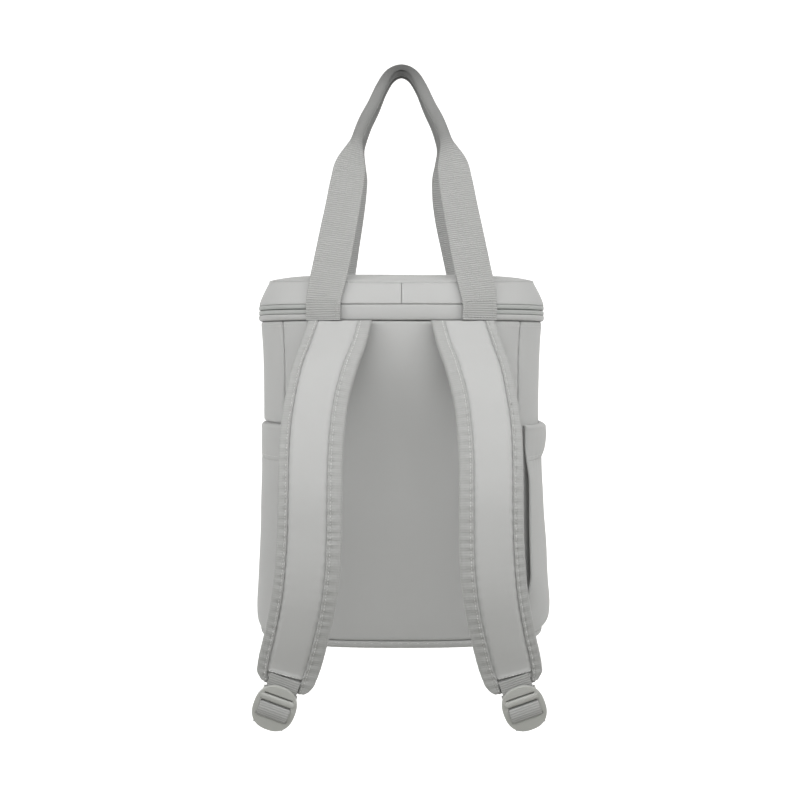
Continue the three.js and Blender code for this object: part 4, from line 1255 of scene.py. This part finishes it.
# %% The box of stitches at the foot of each leg
FOOT_SAMPLES = 60
FOOT_BOX = (2.5, 19)
FOOT_BOX_HALF = 13.5
FOOT_THREAD = 0.27
threads = []
for line, out, thickness in (back_handle, front_handle):
    for foot in (slice(0, FOOT_SAMPLES), slice(-1, -FOOT_SAMPLES - 1, -1)):
        leg, away, thick = line[foot], out[foot], thickness[foot]
        height = lengths_along(leg)
        tangent = unit(np.gradient(leg, axis=0))
        across = unit(np.cross(away, tangent))
        face = leg + away * (thick[:, None] / 2 + 0.15)
        low, high = np.searchsorted(height, FOOT_BOX)
        for reach in (-FOOT_BOX_HALF, FOOT_BOX_HALF):
            threads += stitches((face + across * reach)[low:high], away[low:high], FOOT_THREAD)
        for at in (low, high):
            reach = np.linspace(-FOOT_BOX_HALF, FOOT_BOX_HALF, 9)[:, None]
            threads += stitches(face[at] + across[at] * reach, away[at] + 0 * reach, FOOT_THREAD)
sew("handle_stitches", threads, WEBBING, stitched_to="webbing")

# %% [markdown]
# The shoulder straps. A strap is a long foam pad in smooth cloth, its two edges bound with ribbed
# tape that is sewn through all layers, so the pad is thickest along its middle and pinched under the
# stitches. It hangs out from the rim, away from the back panel and in again. The pad and its tapes
# are made from one table of sections, so that the tapes always follow the edge that they bind.

# %% The way of a strap
strap_section = smooth_table(
    "at drop reach spread width puff turn",
    (0, 0, 0, 0.548, 1.02, 0.35, 10),
    (0.074, 0.065, 0.18, 0.598, 1.03, 0.6, 9),
    (0.156, 0.134, 0.4, 0.664, 1.01, 0.9, 7),
    (0.245, 0.215, 0.614, 0.716, 0.97, 1, 5),
    (0.325, 0.294, 0.761, 0.744, 0.97, 1, 4),
    (0.4, 0.372, 0.875, 0.753, 0.955, 1, 3),
    (0.497, 0.475, 0.977, 0.752, 0.95, 1, 3),
    (0.593, 0.58, 1, 0.755, 0.955, 1, 3),
    (0.665, 0.66, 0.989, 0.768, 0.965, 1, 3),
    (0.741, 0.741, 0.943, 0.797, 0.96, 1, 3),
    (0.852, 0.856, 0.815, 0.872, 0.95, 0.95, 3),
    (0.945, 0.949, 0.71, 0.949, 0.92, 0.7, 3),
    (0.978, 0.98, 0.685, 0.977, 0.84, 0.6, 3),
    (1, 1, 0.672, 1, 0.62, 0.5, 3),
)
STRAP_LENGTH = 380
STRAP_FACE = float(body_point(strap_section(0.0)["spread"] * STRAP_SPREAD, BODY_HEIGHT)[1])


def pad_sizes(share):
    row = strap_section(share)
    half = row["width"] * STRAP_WIDTH / 2 - TRIM_THICKNESS - GAP
    edge = STRAP_EDGE_THICKNESS / 2 * np.minimum(1, row["puff"] + 0.3)
    return half, edge, np.maximum(STRAP_THICKNESS / 2 * row["puff"], edge)


def strap_place(share, side, sway):
    row = strap_section(share)
    x = side * (row["spread"] * STRAP_SPREAD + sway * share)
    y = STRAP_FACE - GAP - TRIM_THICKNESS - pad_sizes(share)[2] - row["reach"] * STRAP_REACH
    return np.stack([x, y, BODY_HEIGHT - row["drop"] * STRAP_DROP], -1)


def strap_frame(share, side, sway):
    share = np.asarray(share, float)
    place = strap_place(share, side, sway)
    ahead = strap_place(np.minimum(share + 0.004, 1), side, sway)
    down = unit(ahead - strap_place(np.maximum(share - 0.004, 0), side, sway))
    held = np.clip(1 - share / STRAP_SETTLE, 0, 1)[..., None] ** 1.5
    down = unit(down * (1 - held) + np.array([0, 0, -1]) * held)
    across = np.array([side, 0, 0]) - down * side * down[..., :1]
    across = unit(across)
    turn = -side * np.radians(strap_section(share)["turn"])[..., None]
    across = across * np.cos(turn) + np.cross(down, across) * np.sin(turn)
    return place, down, across, np.cross(across, down) * -side


print("a strap's middle:", np.round(strap_place(0.5, 1, -2), 1))

# %% Pads
PAD_COLUMNS = 37
PAD_CROWN = 0.9
PAD_SWELL = 0.5
PAD_GATHERS = 0.26
GROOVE_DEPTH = 0.9
GROOVE_WIDTH = 1.7
END_SEAM = 0.955
RIDGE_PAST = -1.2
DIP_PAST = 2.2
TRIM_LAPS = {-1: 11.2, 1: 8.0}


def trim_lap(half, sign):
    """How far the tape lies over the face, and the width of the pad's thinning edge."""
    room = half - TAB_WIDTH / 2 - 2 * GAP
    lap = np.minimum(np.where(sign < 0, TRIM_LAPS[-1], TRIM_LAPS[1]), room)
    return lap, np.minimum(STRAP_BEVEL, half * 0.6)


def pad_height(share, x, sizes, seed, side_up):
    """Half thickness of a pad at a distance across it."""
    half, edge, thick = sizes
    lap, bevel = trim_lap(half, np.sign(x))
    away = half - np.abs(x)
    along = share * STRAP_LENGTH
    height = edge + (thick - edge) * ease(away / bevel)
    flat = np.clip((away - lap) / np.maximum(half - lap, 1), 0, 1)
    height = height + PAD_CROWN * np.sqrt(flat) * np.clip(thick / (STRAP_THICKNESS / 2), 0, 1)
    height -= GROOVE_DEPTH * hill(away - lap - 0.4, GROOVE_WIDTH)
    height += PAD_SWELL * soft_waves(along, x, 75, seed) * flat**0.5
    height += PAD_GATHERS * puckers(along, away - lap, 11.5, 5, seed + 1) * (away > lap * 0.8)
    if side_up:
        past = (share - END_SEAM) * STRAP_LENGTH
        height += 1.4 * hill(past - RIDGE_PAST, GROOVE_WIDTH) * (away > lap)
        height -= 1.7 * hill(past - DIP_PAST, GROOVE_WIDTH) * (away > lap)
    return np.maximum(height, 0.8)


def strap_pad(name, side, sway, seed):
    share = np.concatenate([np.linspace(0, 0.97, 220), np.linspace(0.972, 1, 26)])
    place, _, across, out = strap_frame(share, side, sway)
    sizes = [value[:, None] for value in pad_sizes(share)]
    half = sizes[0]
    position = np.sin(np.linspace(-math.pi / 2, math.pi / 2, PAD_COLUMNS))[None, :]
    x = half * np.concatenate([position, position[:, ::-1]], axis=1)
    top = np.arange(x.shape[1]) < PAD_COLUMNS
    face = pad_height(share[:, None], x, sizes, seed, True)
    back = pad_height(share[:, None], x, sizes, seed + 3, False)
    tip = np.sqrt(1 - 0.9 * np.clip((share - 0.984) / 0.016, 0, 1) ** 2)[:, None]
    y = np.where(top, face, -back) * tip
    rings = place[:, None] + x[..., None] * across[:, None] + y[..., None] * out[:, None]
    sew(name, [tube(rings)], STRAP_CLOTH, crease=70)


# %% Binding tape round the edges of a pad
TRIM_SAMPLES_PER_RIB = 4
TRIM_STITCH_COLUMN = 2
TRIM_THREAD = 0.4
TRIM_RIB = 0.12
TRIM_RUFFLE = 0.42
COLUMN_STEP = 1.2


def trim_section(sizes, sign):
    """The tape's line over the face, round the edge and over the back, with its way out."""
    half, edge, thick = sizes
    lap, bevel = trim_lap(half, sign)
    over = np.linspace(0, 1, 9)[None, :]
    x = half - lap * (1 - over)
    top = edge + (thick - edge) * ease((half - x) / bevel)
    turn = np.linspace(math.pi / 2, -math.pi / 2, 7)[None, 1:-1]
    edge_x = half + 0.9 * np.cos(turn)
    edge_y = edge * np.sin(turn)
    x = np.concatenate([x, edge_x + 0 * half, x[:, ::-1]], axis=1)
    y = np.concatenate([top, edge_y, -top[:, ::-1]], axis=1)
    way_x, way_y = np.gradient(x, axis=1), np.gradient(y, axis=1)
    size = np.hypot(way_x, way_y)
    return x * sign, y, -way_y / size * sign, way_x / size


def strap_trim(name, side, sway, sign, seed):
    count = int(STRAP_LENGTH / (RIB_PITCH / TRIM_SAMPLES_PER_RIB))
    share = np.linspace(0, 0.993, count)
    place, _, across, out = strap_frame(share, side, sway)
    sizes = [value[:, None] for value in pad_sizes(share)]
    x, y, out_x, out_y = trim_section(sizes, sign)
    along = lengths_along(place)[:, None]
    steps = np.arange(x.shape[1])[None, :]
    from_stitch = np.minimum(steps, x.shape[1] - 1 - steps) * COLUMN_STEP
    rib = TRIM_RIB * (0.5 - 0.5 * np.cos(2 * math.pi * along / RIB_PITCH))
    ruffle = TRIM_RUFFLE * puckers(along, from_stitch - 2, 9, 7, seed)
    sunk = 1.0 * np.exp(-((from_stitch - 2.6) ** 2) / 1.2) - 0.4 * np.exp(-((from_stitch - 0.9) ** 2))
    lift = GAP / 2 + TRIM_THICKNESS + rib + ruffle - sunk
    lift = np.where(from_stitch == 0, lift - 0.5, lift)

    def layer(height):
        sx, sy = x + out_x * height, y + out_y * height
        return place[:, None] + sx[..., None] * across[:, None] + sy[..., None] * out[:, None]

    outer, inner = layer(lift), layer(np.minimum(lift - 0.9, 0.15) + 0 * lift)
    points, faces, uv = shell(outer, inner)
    uv[:, 0] = np.tile(np.repeat(along[:, 0] * MM, x.shape[1]), 2)
    sew(name, [(points, faces, uv)], TRIM_TAPE, crease=80)
    rows = []
    for column in (TRIM_STITCH_COLUMN, x.shape[1] - 1 - TRIM_STITCH_COLUMN):
        away = unit(outer[:, column] - inner[:, column])
        rows += stitches(outer[::2, column] + 0.3 * away[::2], away[::2], TRIM_THREAD)
    return rows


END_THREAD = 0.36
STRAPS = (("left", -1, 2, 101), ("right", 1, -2, 201))
for name, side, sway, seed in STRAPS:
    strap_pad(f"strap_pad_{name}", side, sway, seed)
    rows = strap_trim(f"strap_trim_inner_{name}", side, sway, -1, seed + 11)
    rows += strap_trim(f"strap_trim_outer_{name}", side, sway, 1, seed + 12)
    share = np.full(40, END_SEAM + RIDGE_PAST / STRAP_LENGTH)
    place, _, across, out = strap_frame(share, side, sway)
    half, edge, thick = pad_sizes(share)
    x = np.linspace(-1, 1, 40)
    x = x * (half - trim_lap(half, x)[0] - 1)
    height = pad_height(share, x, (half, edge, thick), seed, True)
    line = place + x[:, None] * across + (height + 0.15)[:, None] * out
    rows += stitches(line, out, END_THREAD)
    sew(f"strap_stitches_{name}", rows, THREAD, stitched_to="strap_trim")

# %% [markdown]
# Ladder locks. A lock is moulded in one piece: a rounded plate with slots, its bars, and a bar behind
# the head round which the strap's tab is sewn. The plate is a flat outline with holes, thickened and
# rounded at every edge at once, which is what Blender's curve bevel does; bevelling a cut-up block
# would leave uneven corners at the slots.

# %% A moulded plate from an outline with holes
LOCK_WIDTH = 41
LOCK_THICKNESS = 3.4
LOCK_HEAD = 9.2
LOCK_SLOTS = ((LOCK_HEAD, 1.8), (LOCK_HEAD + 8.2, 3.6), (LOCK_HEAD + 22.6, 2.0))
FOOT_START = LOCK_SLOTS[2][0] + LOCK_SLOTS[2][1]
LOCK_LENGTH = FOOT_START + 12.7
SLOT_WIDTH = TAB_WIDTH + 0.4
LOCK_LAP = 5
REAR_BAR = 3.2
CHEEK = 1.6
EDGE_ROUND = 0.8
OUTLINE_POWER = 0.84
HEAD_SLOT_NARROWER = 2.4
FRONT_BAR = 6.0


def bent(start, *corners, steps=10):
    """An outline through quadratic bends, given as pairs of control point and end."""
    points = [np.array(start, float)]
    for control, end in corners:
        first, control, end = points[-1], np.array(control, float), np.array(end, float)
        for t in np.linspace(0, 1, steps + 1)[1:]:
            points.append((1 - t) ** 2 * first + 2 * (1 - t) * t * control + t**2 * end)
    return np.array(points[:-1])


def oblong(x, y, width, height, radius):
    corners = [(1, 1), (-1, 1), (-1, -1), (1, -1)]
    points = []
    for k, (sx, sy) in enumerate(corners):
        for t in np.linspace(k, k + 1, 5) * math.pi / 2:
            points.append(
                (
                    x + sx * (width / 2 - radius) + radius * math.cos(t),
                    y + sy * (height / 2 - radius) + radius * math.sin(t),
                )
            )
    return np.array(points)


def moulded_plate(outlines, thickness, bevel):
    """Points and faces of a flat shape, thickened, with every edge rounded."""
    curve = bpy.data.curves.new("plate", "CURVE")
    curve.dimensions = "2D"
    curve.fill_mode = "BOTH"
    for outline in outlines:
        spline = curve.splines.new("POLY")
        spline.points.add(len(outline) - 1)
        spline.points.foreach_set("co", [c for x, y in outline for c in (x, y, 0, 1)])
        spline.use_cyclic_u = True
    curve.extrude = thickness / 2 - bevel
    curve.bevel_depth = bevel
    curve.bevel_resolution = 3
    curve.offset = -bevel
    holder = bpy.data.objects.new("plate", curve)
    bpy.context.collection.objects.link(holder)
    shaped = bpy.data.meshes.new_from_object(
        holder.evaluated_get(bpy.context.evaluated_depsgraph_get())
    )
    work = bmesh.new()
    work.from_mesh(shaped)
    bmesh.ops.remove_doubles(work, verts=work.verts, dist=1e-3)
    points = np.array([v.co for v in work.verts])
    faces = [[v.index for v in face.verts] for face in work.faces]
    open_edges = sum(len(edge.link_faces) != 2 for edge in work.edges)
    work.free()
    bpy.data.objects.remove(holder)
    bpy.data.curves.remove(curve)
    bpy.data.meshes.remove(shaped)
    print("moulded plate:", len(faces), "faces,", open_edges, "open edges")
    return points, faces, points[:, :2] * MM


turns = np.linspace(0, 2 * math.pi, 72, endpoint=False)
x, y = oval(turns, OUTLINE_POWER)
lock_outline = np.stack([LOCK_WIDTH / 2 * x, LOCK_LENGTH / 2 * (1 + y)], -1)
slot_outlines = []
for start, high in LOCK_SLOTS:
    wide = SLOT_WIDTH - (HEAD_SLOT_NARROWER if start == LOCK_HEAD else 0)
    slot_outlines.append(oblong(0, start + high / 2, wide, high, high / 2 - 0.05))
plate_part = moulded_plate([lock_outline, *slot_outlines], LOCK_THICKNESS, EDGE_ROUND)


# %% Rods of the lock
def rod(start, end, width, height, corner=3.0, steps=14):
    """A rounded bar between two points, a little swollen at its middle."""
    share = np.linspace(0, 1, steps)
    line = np.array(start) + (np.array(end) - np.array(start)) * share[:, None]
    fit = 1 + 0.08 * np.sin(math.pi * share)
    turn = np.linspace(0, 2 * math.pi, 16, endpoint=False)
    y, z = oval(turn, 2 / corner)
    y, z = y * width / 2, z * height / 2
    section = np.stack([0 * y, y, z], -1)
    way = unit(np.array(end, float) - np.array(start, float))
    if abs(way[2]) > 0.5:
        section = np.stack([z, y, 0 * y], -1)
    return tube(line[:, None] + section[None] * fit[:, None, None])


TAB_HALF = TAB_THICKNESS / 2
CLEAR = GAP + TAB_HALF
BEND = CLEAR * math.sqrt(0.5)
OVER = LOCK_THICKNESS / 2 + CLEAR
BAR_SWELL = 1.6
REAR_BAR_FRONT = -OVER - TAB_HALF - GAP
REAR_BAR_BACK = REAR_BAR_FRONT - REAR_BAR
REAR_LAYER = REAR_BAR_BACK - GAP - TAB_HALF
REAR_BAR_START = LOCK_LAP + 2 * GAP + TAB_THICKNESS
REAR_BAR_END = REAR_BAR_START + REAR_BAR
bar_y = (REAR_BAR_START + REAR_BAR_END) / 2
bar_z = -(REAR_BAR_FRONT + REAR_BAR_BACK) / 2
reach = SLOT_WIDTH / 2
cheek_x = reach + CHEEK / 2
front_bar_y = (LOCK_SLOTS[0][0] + LOCK_SLOTS[0][1] + LOCK_SLOTS[1][0]) / 2
lock_parts = [
    plate_part,
    rod(
        (-reach - 1, front_bar_y, -0.5), (reach + 1, front_bar_y, -0.5),
        FRONT_BAR, LOCK_THICKNESS + 0.8, 2.4,
    ),
    rod((-reach - CHEEK, bar_y, bar_z), (reach + CHEEK, bar_y, bar_z), REAR_BAR, REAR_BAR, 3.4),
]
for x in (-cheek_x, cheek_x):
    lock_parts.append(rod((x, bar_y, 0), (x, bar_y, -REAR_BAR_BACK), REAR_BAR, CHEEK, 3.4))
print("a lock is", round(LOCK_LENGTH, 1), "mm long")

# %% [markdown]
# Each lock hangs in line with its pad. The pad's tab comes from under the end seam, passes behind the
# lock's head and round the rear bar. The adjusting webbing is sewn above the body's lower corner,
# hangs back to the lock, goes over the lower bar and ends in a short tail behind the foot.


# %% Webbing that follows a bent line
NARROW_RIB = 0.25


def eased_line(points, passes=3):
    """Cuts the corners of an open line round and keeps its two ends."""
    points = np.array(points, float)
    for _ in range(passes):
        first, second = points[:-1], points[1:]
        cut = np.stack([0.75 * first + 0.25 * second, 0.25 * first + 0.75 * second], 1)
        points = np.concatenate([points[:1], cut.reshape(-1, points.shape[1]), points[-1:]])
    return points


def narrow_webbing(name, path):
    """path holds rows of place (3) and way across (3)."""
    smooth = eased_line(path)
    lengths = lengths_along(smooth[:, :3])
    at = np.linspace(0, lengths[-1], int(lengths[-1] / (RIB_PITCH / SAMPLES_PER_RIB)))
    rows = np.stack([np.interp(at, lengths, smooth[:, k]) for k in range(6)], -1)
    line, across = rows[:, :3], unit(rows[:, 3:])
    tangent = unit(np.gradient(line, axis=0))
    out = np.cross(tangent, across)
    full = np.ones(len(line))
    part = ribbed_tube(
        line, out, TAB_WIDTH * full, TAB_THICKNESS * full, 6 * full, NARROW_RIB * full
    )
    sew(name, [part], WEBBING, crease=80)


def over_bar(start, end):
    face = LOCK_THICKNESS / 2
    return [
        (start - CLEAR, -face),
        (start - CLEAR, face),
        (start - BEND, face + BEND),
        (start, OVER),
        ((start + end) / 2, OVER + BAR_SWELL),
        (end, OVER),
        (end + BEND, face + BEND),
        (end + CLEAR, face),
        (end + CLEAR, -face),
    ]


def on_lock(axes, pairs):
    """Rows of place and way across for pairs of distance down the lock and out of it."""
    top, down, out, across = axes
    return [[*(top + down * d + out * o), *across] for d, o in pairs]


ADJUST_CORNER = BACK_SEAM - TAB_WIDTH / 2 - 2 * GAP
ADJUST_LOW = BODY_FOOT + 4
WEBBING_SAG = 12
TAIL = 11
for name, side, sway, seed in STRAPS:
    place, down, across, out = strap_frame(1.0, side, sway)
    pad_face = float(pad_sizes(TAB_REST)[2]) + GAP + TAB_HALF
    lock_top = place - down * LOCK_LAP + out * (pad_face + OVER)
    axes = (lock_top, down, out, across)
    lock_x = across * side
    lock_z = np.cross(lock_x, down)
    parts = [
        (lock_top + p @ np.stack([lock_x, down, lock_z]), faces, uv) for p, faces, uv in lock_parts
    ]
    sew(f"ladder_lock_{name}", parts, LOCK, crease=45)
    tab_path = [
        (LOCK_LAP - TAB_LAP, -OVER - 0.3),
        (LOCK_LAP - TAB_LAP + 4, -OVER),
        (REAR_BAR_END, -OVER),
        (REAR_BAR_END + BEND, REAR_BAR_FRONT + BEND),
        (REAR_BAR_END + CLEAR, REAR_BAR_FRONT),
        (REAR_BAR_END + CLEAR, REAR_BAR_BACK),
        (REAR_BAR_END + BEND, REAR_BAR_BACK - BEND),
        (REAR_BAR_END, REAR_LAYER),
        (LOCK_LAP + GAP, REAR_LAYER),
    ]
    narrow_webbing(f"strap_tab_{name}", on_lock(axes, tab_path))
    sewn_out = along_plan(side * ADJUST_CORNER)[1]
    sewn_across = np.array([-sewn_out[1], sewn_out[0], 0]) * side
    sewn = [
        [*body_point(side * ADJUST_CORNER, z, GAP + TAB_HALF), *sewn_across]
        for z in (ADJUST_LOW + 16, ADJUST_LOW)
    ]
    leave = body_point(side * ADJUST_CORNER, ADJUST_LOW, 5)
    leave[2] = ADJUST_LOW - 5
    arrive = np.array(on_lock(axes, [(LOCK_SLOTS[1][0] - 1, REAR_LAYER - 2)])[0][:3])
    hanging = [
        [
            *(leave + (arrive - leave) * t - np.array([0, 0, WEBBING_SAG * 4 * t * (1 - t)])),
            *unit(sewn_across * (1 - t) + across * t),
        ]
        for t in np.linspace(0, 1, 6)
    ]
    threaded = on_lock(
        axes,
        [
            *over_bar(LOCK_SLOTS[1][0] + LOCK_SLOTS[1][1], LOCK_SLOTS[2][0]),
            (FOOT_START, -OVER - GAP),
            (FOOT_START + TAIL, -OVER - GAP),
        ],
    )
    narrow_webbing(f"adjust_webbing_{name}", [*sewn, *hanging, *threaded])

# %% [markdown]
# The zip sliders wait at the middle of the front. A slider is a small painted casting over the tapes
# with a flat pull that hangs from its bridge. Both are flat outlines, thickened and rounded like the
# locks, because that is how such small castings look: plates with soft edges.

# %% Sliders and pulls
SLIDER_LENGTH = 11
SLIDER_HEIGHT = 8
SLIDER_THICKNESS = 3.2
PULL_LENGTH = 26
PULL_WIDTH = 6.5
PULL_THICKNESS = 1.8
BRIDGE = ((1.0, 1.2), (3.0, 0.4), (1.0, -2.4))
body_outline = bent(
    (-SLIDER_LENGTH / 2, 0),
    ((-SLIDER_LENGTH / 2, SLIDER_HEIGHT / 2), (-1.5, SLIDER_HEIGHT / 2)),
    ((SLIDER_LENGTH / 2, SLIDER_HEIGHT / 2), (SLIDER_LENGTH / 2, 1.5)),
    ((SLIDER_LENGTH / 2 - 1, 0), (SLIDER_LENGTH / 2, -1.5)),
    ((SLIDER_LENGTH / 2, -SLIDER_HEIGHT / 2), (-1.5, -SLIDER_HEIGHT / 2)),
    ((-SLIDER_LENGTH / 2, -SLIDER_HEIGHT / 2), (-SLIDER_LENGTH / 2, 0)),
)
pull_outline = oblong(0, -PULL_LENGTH / 2, PULL_WIDTH, PULL_LENGTH, 2.6)
pull_hole = oblong(0, -PULL_LENGTH + 7, PULL_WIDTH * 0.45, 7, 1.3)
eye_hole = oblong(0, -4, PULL_WIDTH * 0.4, 3, 1.1)
slider_body = moulded_plate([body_outline], SLIDER_THICKNESS, 0.9)
slider_pull = moulded_plate([pull_outline, pull_hole, eye_hole], PULL_THICKNESS, 0.5)
front_face = float(top_point(FRONT_MIDDLE, 0.0, RIM_OVERHANG)[1])


def facing_front(part, x, y, z, turn=1):
    """Stands a flat part upright, with its thickness along the bag's depth."""
    points, faces, uv = part
    stood = np.stack([points[:, 0] * turn + x, points[:, 2] + y, points[:, 1] + z], -1)
    return stood, faces, uv


for name, side in (("left", -1), ("right", 1)):
    x = side * (SLIDER_LENGTH / 2 + GAP)
    y = front_face + GAP + SLIDER_THICKNESS / 2
    pull_y = y + SLIDER_THICKNESS / 2 + PULL_THICKNESS / 4
    bow = eased_line([(x, y + out, ZIP_MIDDLE + up) for out, up in BRIDGE])
    ones = np.ones(len(bow))
    side_way = np.tile([1.0, 0, 0], (len(bow), 1))
    parts = [
        facing_front(slider_body, x, y, ZIP_MIDDLE, side),
        facing_front(slider_pull, x, pull_y, ZIP_MIDDLE + SLIDER_HEIGHT / 4),
        ribbed_tube(bow, side_way, 1.2 * ones, 2.0 * ones, 2.4 * ones, 0 * ones, corners=12),
    ]
    sew(f"zip_slider_{name}", parts, SLIDER, crease=45)
